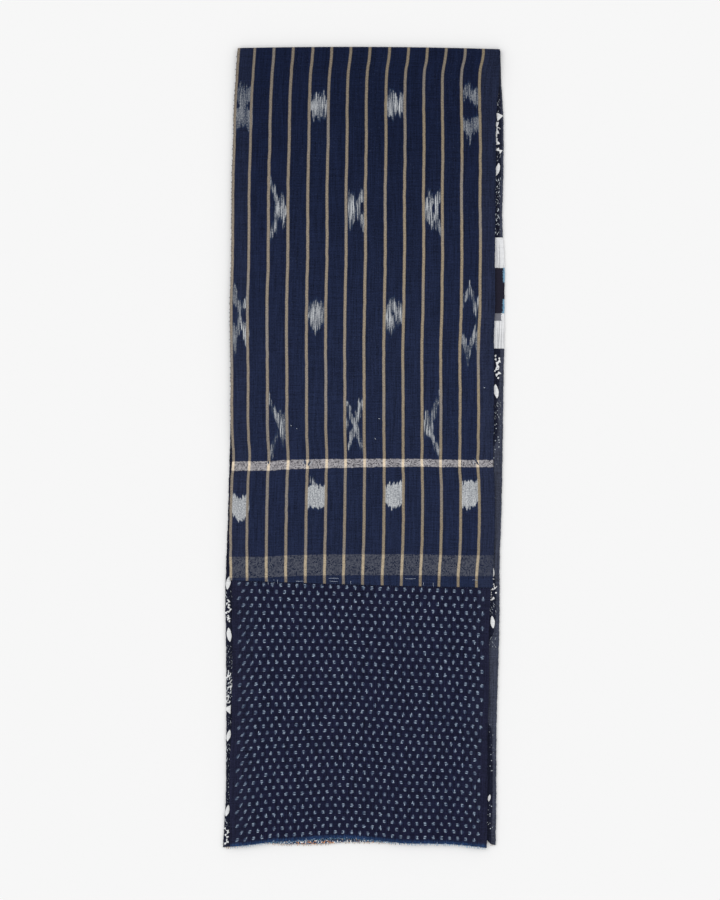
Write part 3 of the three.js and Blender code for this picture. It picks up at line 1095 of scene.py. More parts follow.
FINE_ZONES = rows_of(
    FineZone,
    (Side.RIGHT, 0.45, 0.0, 56, 80), (Side.RIGHT, 0.5, 0.0, 128, 137), (Side.RIGHT, 0.9, 0.15, 157, 227),
    (Side.RIGHT, 0.4, 0.4, 426, 446), (Side.RIGHT, 0.0, 0.6, 448, 500), (Side.RIGHT, 0.4, 0.3, 667, 680),
    (Side.RIGHT, 0.4, 0.0, 704, 722), (Side.RIGHT, 0.0, 0.5, 813, 869), (Side.RIGHT, 0.0, 0.8, 909, 948),
    (Side.LEFT, 0.5, 0.0, 652, 662), (Side.LEFT, 0.4, 0.0, 718, 750), (Side.LEFT, 0.8, 0.0, 750, 790),
    (Side.LEFT, 0.7, 0.0, 804, 816), (Side.LEFT, 0.7, 0.0, 836, 858), (Side.LEFT, 0.35, 0.0, 858, 906),
    (Side.LEFT, 0.5, 0.0, 925, 937),
)


@dataclass(frozen=True)
class PrintLayout:
    """The bold print of the lining's strips: runs of small figures, and single ones at set places."""

    seed: int = 5
    seed_step: int = 7
    left_reach: tuple[float, float] = (0.8, 6.5)
    right_reach: tuple[float, float] = (3.4, 11.0)
    sizes: tuple[float, float] = (0.7, 1.15)
    dot_size: float = 0.5
    turns: tuple[float, float] = (-1.6, 1.6)
    spacing: tuple[float, float] = (0.45, 0.8)

    def prints(self) -> list[Print]:
        """The figures of every run, and then the single ones."""
        return [figure for run in RUNS for figure in self.figures(run)] + list(LONE_FIGURES)

    def figures(self, run: Run) -> list[Print]:
        """Places the small figures of one run.

        Args:
            run: The run.

        Returns:
            Its figures, each of a chance length, turn and place across.
        """
        chance = random.Random(self.seed + int(run.start) * self.seed_step)
        reach = self.right_reach if run.side is Side.RIGHT else self.left_reach
        found = []
        down = run.start
        while down < run.end:
            kind = run.kinds[len(found) % len(run.kinds)]
            length = run.size * chance.uniform(*self.sizes)
            length = length * self.dot_size if kind is Mark.DOT else length
            inward = chance.uniform(*reach)
            found.append(Print(run.side, kind, down, inward, length, chance.uniform(*self.turns)))
            down += length * chance.uniform(*self.spacing)
        return found


@dataclass(frozen=True)
class PrintedLining(LaidCloth):
    """The lining of both halves as one folded cloth, less the room for the patch."""

    name: str = "lining_cloth"
    slot: str = "printed_lining_cotton"
    cut_width: float = 326.0
    cut_length: float = 2 * (END_NOMINAL - FOLD_RADIUS) + math.pi * (FOLD_RADIUS - LINING_DEPTH)
    back_stops: Stops = ((END_NOMINAL, 0), (36.0, 1.25), (FOLD_RADIUS, 8.0))
    front_stops: Stops = ((FOLD_RADIUS, 0), (END_NOMINAL, 20.0))
    depth: float = LINING_DEPTH
    waver_seed: int = 41
    strip_step: float = 0.85
    left_strip: float = 9.2
    right_strip: float = 15.0
    middle_columns: int = 14
    middle_margin: float = 4.0
    width: float = 2 * SCARF_HALF_WIDTH + 8
    back_top: float = 3.0
    zone_blur: float = 2.0
    zone_rim: float = 1.2
    zone_inner: float = 30.0
    left_zone: float = -1.0
    right_zone: float = 2.6
    margin_blur: float = 0.8
    layout: PrintLayout = PrintLayout()

    def shares(self) -> Array:
        """Fine columns in the two strips and coarse ones between them.

        Returns:
            The columns' shares of the width.
        """
        left = np.arange(0, self.left_strip, self.strip_step)
        right = self.width - np.arange(0, self.right_strip, self.strip_step)[::-1]
        ends = self.left_strip + self.middle_margin, self.width - self.right_strip - self.middle_margin
        return np.concatenate([left, np.linspace(*ends, self.middle_columns), right]) / self.width

    def edges(self, nominal: Array, turn: Array) -> Arrays:
        """The back half's edges, and the front's drawn in behind the outer panels.

        Args:
            nominal: The rows' nominal distances down.
            turn: Their turns round the fold.

        Returns:
            The left and right edges on each row.
        """
        back = edges_at(BACK_EDGES, nominal)
        striped = blended_edges(edges_at(STRIPED_EDGES, nominal, LINING_INSET), back, turn)
        dotted = blended_edges(edges_at(DOTTED_EDGES, nominal, LINING_INSET), back, turn)
        upper = nominal < STRIPED_HEM[0].value
        return np.where(upper, striped[0], dotted[0]), np.where(upper, striped[1], dotted[1])

    def limits(self, across: Array, turn: Array) -> Arrays:
        """The fold, and each half's cut end."""
        front = read_table(CUT_ENDS, "front", across) - LINING_END_INSET
        return fold_line(across), np.where(turn == 0, read_table(CUT_ENDS, "back", across), front)

    def cloth_uv(self, grid: PlyGrid, share: Array) -> Arrays:
        """Shares of the whole unfolded lining."""
        along = (np.where(grid.turn == 0, -grid.down, grid.down) + END_NOMINAL) / (2 * END_NOMINAL)
        return np.broadcast_to(share, along.shape), along

    def marks(self, grid: PlyGrid) -> Marks:
        """The print of the two strips, which lie on the back half.

        Args:
            grid: The ply's points.

        Returns:
            The depth in the bold figures, the plain margin, the fine lines and the small dots.
        """
        width = grid.across[:, -1:] - grid.across[:, :1]
        share = (grid.across - grid.across[:, :1]) / width
        inward = {Side.LEFT: share * width, Side.RIGHT: (1 - share) * width}
        field = np.full(grid.across.shape, NO_DYE)
        for figure in self.layout.prints():
            cos, sin = math.cos(figure.turn), math.sin(figure.turn)
            away, past = inward[figure.side] - figure.inward, grid.down - figure.down
            depth = figure_depth(figure.kind, away * cos - past * sin, past * cos + away * sin, figure.size)
            field = np.maximum(field, np.where(grid.turn == 0, depth, NO_DYE))
        lines = dots = np.zeros(field.shape)
        for zone in FINE_ZONES:
            shown = self.zone_share(zone, inward[zone.side], grid)
            lines = np.maximum(lines, shown * zone.lines)
            dots = np.maximum(dots, shown * zone.dots)
        margin = inward[Side.RIGHT] - read_table(PRINT_MARGIN, "value", grid.down)
        margin = 1 - smooth_step(margin, -self.margin_blur, self.margin_blur)
        return {"print": field, "print_margin": margin, "print_lines": lines, "print_dots": dots}

    def zone_share(self, zone: FineZone, inward: Array, grid: PlyGrid) -> Array:
        """How much of a zone's fine print shows.

        Args:
            zone: The zone.
            inward: Each point's distance in from the zone's side.
            grid: The ply's points.

        Returns:
            The share at each point.
        """
        begun = smooth_step(grid.down, zone.start - self.zone_blur, zone.start + self.zone_blur)
        ended = smooth_step(grid.down, zone.end - self.zone_blur, zone.end + self.zone_blur)
        nearest = self.left_zone if zone.side is Side.LEFT else self.right_zone
        within = smooth_step(inward, nearest, nearest + self.zone_rim)
        return (begun - ended) * within * (grid.turn == 0) * (inward < self.zone_inner)

    def back_faces(self, shaper: bmesh.types.BMesh) -> list[bmesh.types.BMFace]:
        """The faces of the lining's back half."""
        return [face for face in shaper.faces if face.calc_center_median().z < self.back_top * MM]

    def close(self, mesh: Mesh) -> Piece:
        """Cuts out the room for the patch before the cloth gets its thickness.

        Args:
            mesh: The outer face of the cloth.

        Returns:
            The piece.
        """
        seam = (PATCH_SEAM - SEAM_GAP) * MM
        top = (MIDDLE_DOWN - PATCH_START + SEAM_GAP) * MM
        bottom = (MIDDLE_DOWN - PATCH_END - SEAM_GAP) * MM
        shaper = bmesh.new()
        shaper.from_mesh(mesh)
        cuts = ((seam, 0, 0), (1, 0, 0)), ((0, top, 0), (0, 1, 0)), ((0, bottom, 0), (0, 1, 0))
        for cut, facing in cuts:
            near = self.back_faces(shaper)
            edges = {edge for face in near for edge in face.edges}
            verts = {vert for face in near for vert in face.verts}
            geometry = [*near, *edges, *verts]
            bmesh.ops.bisect_plane(shaper, geom=geometry, dist=1e-7, plane_co=cut, plane_no=facing)
        middles = [(face, face.calc_center_median()) for face in self.back_faces(shaper)]
        taken = [face for face, middle in middles if middle.x > seam and bottom < middle.y < top]
        bmesh.ops.delete(shaper, geom=taken, context="FACES")
        shaper.to_mesh(mesh)
        shaper.free()
        return super().close(mesh)


@dataclass(frozen=True)
class BlockPatch(LaidCloth):
    """The patch of blocked cloth, pieced into the lining's right edge."""

    name: str = "patch_cloth"
    slot: str = "block_patch_cotton"
    cut_width: float = 16.5
    cut_length: float = PATCH_END - PATCH_START
    back_stops: Stops = ((PATCH_END, 0), (PATCH_START, 2.0))
    depth: float = LINING_DEPTH
    columns: int = 12
    waver_seed: int = 41

    def edges(self, nominal: Array, turn: Array) -> Arrays:
        """From the seam to the back half's right edge."""
        right = read_table(BACK_EDGES, "right", nominal)
        return np.full(right.shape, PATCH_SEAM), right

    def fit_down(self, across: Array, nominal: Array, turn: Array) -> Array:
        """The rows stand where they are."""
        return nominal.copy()

    def cloth_uv(self, grid: PlyGrid, share: Array) -> Arrays:
        """Shares of the patch, from its top end down."""
        along = (grid.down - PATCH_START) / (PATCH_END - PATCH_START)
        return np.broadcast_to(share, along.shape), along


def linear(red: int, green: int, blue: int) -> Colour:
    """The linear colour of a screen colour whose parts run from 0 to 255."""
    shares = (red / 255, green / 255, blue / 255)
    return tuple(s / 12.92 if s <= 0.04045 else ((s + 0.055) / 1.055) ** 2.4 for s in shares)


class Wire:
    """A number or colour that runs through a material's nodes, with the sums that the finishes use."""

    def __init__(self, graph: "Graph", socket: Socket) -> None:
        """Keeps the material's nodes and the socket that the value comes from."""
        self.graph = graph
        self.socket = socket

    def sum(self, operation: str, *others: Value) -> "Wire":
        """A math node that starts from this value, by Blender's name for it."""
        return self.graph.math(operation, self, *others)

    def __add__(self, other: Value) -> "Wire":
        """This value and another together."""
        return self.sum("ADD", other)

    def __sub__(self, other: Value) -> "Wire":
        """This value less another."""
        return self.sum("SUBTRACT", other)

    def __rsub__(self, other: float) -> "Wire":
        """A number less this value."""
        return self.graph.math("SUBTRACT", other, self)

    def __mul__(self, other: Value) -> "Wire":
        """This value times another."""
        return self.sum("MULTIPLY", other)

    def __truediv__(self, other: Value) -> "Wire":
        """This value divided by another."""
        return self.sum("DIVIDE", other)

    def __abs__(self) -> "Wire":
        """This value without its sign."""
        return self.sum("ABSOLUTE")

    def floor(self) -> "Wire":
        """The whole number below this value."""
        return self.sum("FLOOR")

    def round(self) -> "Wire":
        """The whole number nearest to this value."""
        return self.sum("ROUND")

    def over(self, limit: float) -> "Wire":
        """1 where this value is above a limit, and 0 elsewhere."""
        return self.sum("GREATER_THAN", limit)

    def under(self, limit: float) -> "Wire":
        """1 where this value is below a limit, and 0 elsewhere."""
        return self.sum("LESS_THAN", limit)

    def step(self, low: float, high: float) -> "Wire":
        """A smooth step from 0 where this value is low to 1 where it is high."""
        feeds = {"Value": self, "From Min": low, "From Max": high}
        return self.graph.wire("MapRange", "Result", feeds, interpolation_type="SMOOTHSTEP")

    def span(self, low: float, high: float, new_low: float = 0.0, new_high: float = 1.0) -> "Wire":
        """This value taken from one span to another and held within it."""
        feeds = {"Value": self, "From Min": low, "From Max": high, "To Min": new_low, "To Max": new_high}
        return self.graph.wire("MapRange", "Result", feeds)


class Graph:
    """A material's nodes, with short calls for those that the finishes use."""

    sheen_roughness: float = 0.6
    relief_strength: float = 0.5

    def __init__(self, name: str, roughness: float, specular: float, sheen: float) -> None:
        """Makes the material and sets what is the same all over on the shader's own sockets.

        Args:
            name: The material's name.
            roughness: Its roughness.
            specular: Its specular level.
            sheen: The weight of its sheen.
        """
        self.material = bpy.data.materials.new(name)
        self.material.use_nodes = True
        self.tree = self.material.node_tree
        self.shader = self.tree.nodes["Principled BSDF"]
        self.shader.inputs["Roughness"].default_value = roughness
        self.shader.inputs["Specular IOR Level"].default_value = specular
        self.shader.inputs["Sheen Weight"].default_value = sheen
        self.shader.inputs["Sheen Roughness"].default_value = self.sheen_roughness

    def put(self, value: Value | Shade, socket: Socket) -> None:
        """Links a socket to a wire, or sets a plain value on it.

        Args:
            value: A wire, a number or a colour.
            socket: The socket that takes it.
        """
        if isinstance(value, Wire):
            self.tree.links.new(value.socket, socket)
        elif isinstance(value, tuple) and len(socket.default_value) == 4:
            socket.default_value = (*value, 1.0)
        else:
            socket.default_value = value

    def wire(self, kind: str, output: str | int, feeds: dict, **settings: object) -> Wire:
        """Adds a node and reads one of its outputs.

        Args:
            kind: The node's type.
            output: The output that is read.
            feeds: What each named or numbered input takes.
            settings: The node's own settings.

        Returns:
            The output's value.
        """
        made = self.tree.nodes.new("ShaderNode" + kind)
        for key, value in settings.items():
            setattr(made, key, value)
        for key, value in feeds.items():
            self.put(value, made.inputs[key])
        return Wire(self, made.outputs[output])

    def math(self, operation: str, *values: Value) -> Wire:
        """A sum of up to three values, by Blender's name for it."""
        return self.wire("Math", 0, dict(enumerate(values)), operation=operation)

    def blend(self, factor: Value, first: Shade, second: Shade) -> Wire:
        """Mixes two colours by a factor."""
        return self.wire("Mix", 2, {0: factor, 6: first, 7: second}, data_type="RGBA")

    def scale(self, colour: Shade, amount: Value) -> Wire:
        """Makes a colour lighter or darker by an amount."""
        return self.wire("VectorMath", 0, {0: colour, "Scale": amount}, operation="SCALE")

    def noise(self, across: Value, along: Value, third: Value = 0.0, detail: float = 2.0) -> Wire:
        """Smooth noise of unit scale at a place, mostly between 0.3 and 0.7."""
        place = self.wire("CombineXYZ", 0, {0: across, 1: along, 2: third})
        return self.wire("TexNoise", "Fac", {"Vector": place, "Scale": 1.0, "Detail": detail})

    def chance(self, across: Value, along: Value, third: float) -> Wire:
        """A chance value from 0 to 1 for each place."""
        place = self.wire("CombineXYZ", 0, {0: across, 1: along, 2: third})
        return self.wire("TexWhiteNoise", "Value", {"Vector": place}, noise_dimensions="3D")

    def speck(self, across: Value, along: Value) -> Wire:
        """The distance from the nearest of specks that are scattered about one to a unit."""
        place = self.wire("CombineXYZ", 0, {0: across, 1: along})
        return self.wire("TexVoronoi", "Distance", {"Vector": place, "Scale": 1.0})

    def mark(self, name: str) -> Wire:
        """A named value of the mesh."""
        return self.wire("Attribute", "Fac", {}, attribute_name=name)

    def place(self, width: float, length: float) -> Pair:
        """The place across and along a cloth of a width and length, from its own coordinates."""
        across = self.wire("SeparateXYZ", "X", {0: self.wire("UVMap", "UV", {}, uv_map="cloth")})
        return across * width, Wire(self, across.socket.node.outputs["Y"]) * length

    def finish(self, colour: Shade, height: Wire, depth: float) -> Material:
        """Gives the shader its colour and its relief.

        Args:
            colour: The base colour.
            height: The relief's height.
            depth: How deep one unit of height is, in metres.

        Returns:
            The material.
        """
        feeds = {"Strength": self.relief_strength, "Distance": depth, "Height": height}
        self.put(colour, self.shader.inputs["Base Color"])
        self.put(self.wire("Bump", "Normal", feeds), self.shader.inputs["Normal"])
        return self.material


class Weave(Graph):
    """A cotton's material, with the place on the cloth in millimetres and its uneven yarns."""

    def __init__(self, cotton: "Cotton") -> None:
        """Makes the material, and reads the place and the streaks of the yarns, about 0.5 each.

        Args:
            cotton: The cotton.
        """
        super().__init__(cotton.name, cotton.roughness, cotton.specular, cotton.sheen)
        self.across, self.along = cotton.place(self)
        self.warp = self.grain(0.8, 0.03, 2.7)
        self.weft = self.grain(0.035, 0.8, 7.1)

    def grain(self, by_across: float, by_along: float, third: Value = 0.0, detail: float = 2.0) -> Wire:
        """Smooth noise with so many waves a millimetre across and along the cloth."""
        return self.noise(self.across * by_across, self.along * by_along, third, detail)

    def uneven(self, colour: Shade) -> Wire:
        """Makes a colour uneven along the warp and the weft, with a fine grain."""
        streak = self.warp.span(0.25, 0.75, 0.66, 1.34) + self.weft.span(0.25, 0.75, -0.26, 0.26)
        return self.scale(colour, streak + self.grain(0.6, 0.6, 6.0, 1.0).span(0.25, 0.75, -0.3, 0.3))

    def relief(self, pitch: float, woven: float, slub: float) -> Wire:
        """The height of a plain weave, from its yarns' pitch, its own height and that of its slubs."""
        warp, weft = ((place * (math.pi / pitch)).sum("SINE") for place in (self.across, self.along))
        return warp * weft * woven + (self.warp + self.weft) * slub


@dataclass(frozen=True)
class Cotton:
    """A woven cotton: its size, how it takes the light and how deep its weave is."""

    name: str = ""
    width: float = 1.0
    length: float = 1.0
    roughness: float = 0.88
    specular: float = 0.04
    sheen: float = 0.015
    pitch: float = 0.62
    depth: float = 0.00016
    woven: float = 1.0
    slub: float = 1.0

    def place(self, graph: Graph) -> Pair:
        """The place across and along the cloth in millimetres."""
        return graph.place(self.width, self.length)

    def colour(self, cloth: Weave) -> Wire:
        """The cloth's colour at each place."""
        raise NotImplementedError

    def make(self) -> Material:
        """Builds the material."""
        cloth = Weave(self)
        return cloth.finish(self.colour(cloth), cloth.relief(self.pitch, self.woven, self.slub), self.depth)


@dataclass(frozen=True)
class WeftBand:
    """A pale weft band of the striped cloth, with how much narrower and fainter it is at the right."""

    start: float
    end: float
    taper: float
    fade: float
    dark: Colour
    pale: Colour
    crossing: Colour


NARROW_BAND = WeftBand(
    start=494.4, end=505.5, taper=2.7, fade=0.0,
    dark=linear(82, 80, 86), pale=linear(174, 171, 174), crossing=linear(232, 214, 188),
)
WIDE_BAND = WeftBand(
    start=608.7, end=633.6, taper=0.0, fade=0.42,
    dark=linear(26, 34, 56), pale=linear(83, 86, 97), crossing=linear(182, 167, 142),
)


@dataclass(frozen=True)
class StripedKasuri(Cotton):
    """Dark indigo with tan warp stripes, pale dyed threads and two pale weft bands."""

    name: str = "striped kasuri cotton"
    woven: float = 0.6
    slub: float = 1.6
    upper_ground: Colour = linear(19, 27, 51)
    lower_ground: Colour = linear(30, 38, 63)
    hem_ground: Colour = linear(31, 40, 66)
    side_ground: Colour = linear(48, 53, 72)
    worn: Colour = linear(58, 66, 92)
    stripe_left: Colour = linear(149, 138, 124)
    stripe_right: Colour = linear(158, 144, 121)
    stripe_grey: Colour = linear(146, 139, 132)
    stripe_half_width: float = 1.5
    last_stripe: float = 13.0 * STRIPE_PITCH
    thread_dark: Colour = linear(50, 59, 78)
    thread_pale: Colour = linear(208, 211, 213)
    thread_blue: Colour = linear(44, 70, 104)
    thread: float = 1.3
    cell: float = 1.3
    lower_start: float = 20.0
    lower_end: float = 430.0
    hem_start: float = 633.0

    def place(self, graph: Graph) -> Pair:
        """The place on the cloth, with its stripes a pitch apart."""
        count, along = graph.place(STRIPE_INDEX_SPAN, CLOTH_UV_SPAN)
        return (count - STRIPE_INDEX_MARGIN) * STRIPE_PITCH, along + CLOTH_UV_START

    def colour(self, cloth: Weave) -> Wire:
        """The cloth's colour at each place.

        Args:
            cloth: Its nodes, place and yarns.

        Returns:
            The colour.
        """
        stripe = self.stripe(cloth)
        colour = self.dyed(cloth, self.ground(cloth))
        colour = cloth.blend(stripe, colour, self.tan(cloth))
        for band in (NARROW_BAND, WIDE_BAND):
            colour = self.banded(cloth, colour, band, stripe)
        return colour

    def ground(self, cloth: Weave) -> Wire:
        """The indigo ground, paler towards the hem, with streaks and worn flecks.

        Args:
            cloth: Its nodes, place and yarns.

        Returns:
            The ground's colour.
        """
        lower = cloth.along.step(self.lower_start, self.lower_end)
        ground = cloth.blend(lower, self.upper_ground, self.lower_ground)
        ground = cloth.blend(cloth.along.step(self.hem_start, self.hem_start + 4), ground, self.hem_ground)
        left = 1.0 - cloth.across.step(0.85 * STRIPE_PITCH, STRIPE_PITCH)
        right = cloth.across.step(self.last_stripe, self.last_stripe + 0.1 * STRIPE_PITCH)
        ground = cloth.blend(left * 0.2 + right * 0.32, ground, self.side_ground)
        ground = cloth.uneven(ground)
        fleck = cloth.grain(0.5, 0.5, 4.0, 1.0).step(0.58, 0.8)
        zone = cloth.grain(0.02, 0.012)
        return cloth.blend(fleck * zone.span(0.4, 0.65, 0.08, 0.5), ground, self.worn)

    def stripe(self, cloth: Weave) -> Wire:
        """How much of the tan warp shows at a place.

        Args:
            cloth: Its nodes, place and yarns.

        Returns:
            The share of tan.
        """
        count = cloth.across / STRIPE_PITCH
        wander = cloth.noise(count.round() * 3.7, cloth.along * 0.07)
        away = abs((count - count.round()) * STRIPE_PITCH + wander * 1.2 - 0.6)
        away = away + count.under(0.5) * 0.25
        body = 1.0 - away.step(self.stripe_half_width - 0.5, self.stripe_half_width + 0.7)
        covered = cloth.grain(1.1, 0.75, 1.0, 1.0).span(0.25, 0.5, 0.66, 1.0)
        return body * covered * count.under(STRIPE_COUNT - 0.5)

    def tan(self, cloth: Weave) -> Wire:
        """The tan yarns, darker near the fold and the hem, and greyer on some stripes and lengths.

        Args:
            cloth: Its nodes, place and yarns.

        Returns:
            Their colour.
        """
        tan = cloth.blend(cloth.across.step(0, CLOTH_WIDTH), self.stripe_left, self.stripe_right)
        number = (cloth.across / STRIPE_PITCH).round()
        greyed = cloth.noise(number * 7.3, cloth.along * 0.012, 2.0, 0.0)
        tan = cloth.blend(greyed.step(0.5, 0.8), tan, self.stripe_grey)
        grain = cloth.grain(0.9, 0.6, 6.0).span(0.3, 0.7, 0.68, 1.28)
        shade = cloth.along.span(0, 220, 0.7, 0.98) - cloth.along.step(420, 470) * 0.1
        shade = shade - cloth.along.step(self.hem_start, self.hem_start + 5) * 0.14
        return cloth.scale(tan, grain * shade)

    def dyed(self, cloth: Weave, ground: Wire) -> Wire:
        """Lays the resist-dyed threads on the ground.

        Args:
            cloth: Its nodes, place and yarns.
            ground: The ground's colour.

        Returns:
            The colour with its dyed threads.
        """
        field, tone = cloth.mark("dye"), cloth.mark("dye_tone")
        thread = (cloth.across / self.thread).floor()
        solid = tone.step(1.0, 1.1)
        reach = cloth.noise(thread * 1.7, cloth.along * 0.03, 9.0, 0.0) * 12.0
        own = cloth.noise(thread * 5.3, cloth.along * 0.02, 3.0, 0.0).span(0.3, 0.7, 0.0, 9.0)
        ragged = field + (reach + own - 12.8) * (1.0 - solid * 0.5)
        heart = field.span(0.0, 16.0, -0.2, 0.15) * (tone.span(0.55, 0.8, 0.3, 1.3) - solid * 1.3)
        streak = cloth.noise(thread * 3.3, cloth.along * 0.045, 5.0, 1.0) - 0.5
        turn = thread.sum("FLOORED_MODULO", 2.0) - 0.5
        uneven = cloth.noise(thread * 0.31, cloth.along * 0.06, 4.0, 1.0).span(0.4, 0.6, 0.0, 0.22)
        streak = streak + turn * uneven
        contrast = tone.span(0.5, 0.58, 0.7, 2.4) - tone.span(0.66, 0.74, 0.0, 0.6) - solid * 1.2
        grain = cloth.grain(0.7, 0.55, 1.0, 1.0) - 0.5
        pale = tone * 0.34 + solid * 0.21 + heart + streak * contrast + grain * (solid * 0.5 + 0.8)
        colour = cloth.blend(pale.span(0.0, 1.0), self.thread_dark, self.thread_pale)
        shown = field.over(NO_DYE / 2)
        ground = cloth.blend(ragged.step(-3.5, -0.5) * shown * 0.25, ground, self.thread_blue)
        return cloth.blend(ragged.step(-1.2, 1.0) * shown, ground, colour)

    def banded(self, cloth: Weave, under: Wire, band: WeftBand, stripe: Wire) -> Wire:
        """Lays a pale weft band over the cloth.

        Args:
            cloth: Its nodes, place and yarns.
            under: The cloth's colour below it.
            band: The band.
            stripe: The share of tan warp.

        Returns:
            The colour with the band.
        """
        speckle = cloth.chance((cloth.across / self.cell).floor(), (cloth.along / self.cell).floor(), 2.0)
        cloudy = cloth.grain(0.7, 0.9, 2.0)
        lines = cloth.grain(0.12, 0.9, 3.0, 1.0)
        shade = cloudy * 0.8 + lines * 0.8 + speckle * 0.85 - speckle.under(0.09) * 0.4 - 0.63
        place = cloth.along + cloth.noise(cloth.across * 0.2, 0.0, band.start) * 2.0 - 1.0
        top = place.step(band.start - 0.5, band.start + 0.5)
        place = place + cloth.across.span(80, 290, 0.0, band.taper)
        bottom = 1.0 - place.step(band.end - 0.5, band.end + 0.5)
        base = cloth.blend(shade.span(0.0, 1.0), band.dark, band.pale)
        crossed = cloth.scale(band.crossing, shade.span(0.0, 1.0, 0.8, 1.1))
        faded = 1.0 - cloth.across.step(self.last_stripe, self.last_stripe + 0.4 * STRIPE_PITCH) * band.fade
        return cloth.blend(top * bottom * faded, under, cloth.blend(stripe, base, crossed))


@dataclass(frozen=True)
class DottedKasuri(Cotton):
    """Very dark indigo with rows of small pale resist marks, each a few floats of yarn."""

    name: str = "dotted kasuri cotton"
    width: float = 309.0
    length: float = 326.0
    woven: float = 0.6
    dark: Colour = linear(24, 26, 48)
    margin: Colour = linear(32, 34, 54)
    end_blue: Colour = linear(42, 72, 114)
    bloom: Colour = linear(66, 82, 108)
    yarn: Colour = linear(184, 202, 220)
    floats: int = 3
    float_pitch: float = 1.45
    scatter_across: float = 1.7
    scatter_along: float = 0.8
    long_half: float = 1.2
    short_half: float = 0.45

    def colour(self, cloth: Weave) -> Wire:
        """The cloth's colour at each place.

        Args:
            cloth: Its nodes, place and yarns.

        Returns:
            The colour.
        """
        side = abs(cloth.across * (2.0 / self.width) - 1.0)
        ground = cloth.blend(side.step(0.75, 1.05), self.dark, self.margin)
        worn_end = cloth.grain(0.6, 0.05, 1.0, 1.0)
        near_end = (worn_end * 6.0 + self.length - cloth.along).span(1.5, 7.5, 0.85, 0.0)
        ground = cloth.uneven(cloth.blend(near_end, ground, self.end_blue))
        bloom, mark = self.marks(cloth)
        grain = cloth.grain(1.1, 1.1, 3.0, 1.0).span(0.3, 0.65, 0.6, 1.0)
        return cloth.blend(mark * grain, cloth.blend(bloom, ground, self.bloom), self.yarn)

    def marks(self, cloth: Weave) -> Pair:
        """The resist marks: on every second place of each row, and the others in the next row.

        Args:
            cloth: Its nodes, place and yarns.

        Returns:
            How much of a mark's faint bloom and of its pale yarn shows.
        """
        pitch_across, pitch_along = DOT_HALF_PITCH * self.width, DOT_ROW_PITCH * self.length
        row_place = (cloth.along - DOT_FIRST_DOWN * self.length) / pitch_along
        column_place = (cloth.across - DOT_FIRST_ACROSS * self.width) / pitch_across
        row = row_place.round()
        odd = row.sum("FLOORED_MODULO", 2.0)
        column = ((column_place - odd) * 0.5).round() * 2.0 + odd
        ahead = (row_place - row) * pitch_along
        lean = 1.0 - column.step(1.0, 5.0)
        aside = (column_place - column) * pitch_across + ahead * lean * 0.5
        away = (aside / 2.3).sum("POWER", 2.0) + (ahead / 2.7).sum("POWER", 2.0)
        inside = column.under(DOT_COLUMNS + 0.5) * column.over(-0.5)
        pale = inside * 0.0
        for number in range(self.floats):
            pale = pale.sum("MAXIMUM", self.float_mark(cloth, (column, row), (aside, ahead), number))
        return (1.0 - away.step(0.3, 1.3)) * inside * 0.5, pale * (1.0 - lean * 0.35) * inside

    def float_mark(self, cloth: Weave, cell: Pair, away: Pair, number: int) -> Wire:
        """One pale float of yarn in a mark, lying along the warp or the weft.

        Args:
            cloth: Its nodes, place and yarns.
            cell: The mark's column and row.
            away: The place from the mark's middle, across and along, in millimetres.
            number: Which of the mark's floats this is.

        Returns:
            How much of it shows.
        """
        chances = [cloth.chance(*cell, 10.0 * number + draw) for draw in range(4)]
        reach = chances[0].over(0.7) * (self.long_half - self.short_half)
        first = (number - (self.floats - 1) / 2) * self.float_pitch
        past_across = abs(away[0] - (chances[1] - 0.5) * self.scatter_across) / (self.long_half - reach)
        past_along = abs(away[1] - (chances[2] - 0.5) * self.scatter_along - first)
        past_along = past_along / (reach + self.short_half)
        mask = 1.0 - past_across.sum("MAXIMUM", past_along).step(0.6, 1.35)
        return mask * (chances[3] * 0.68 + 0.18)


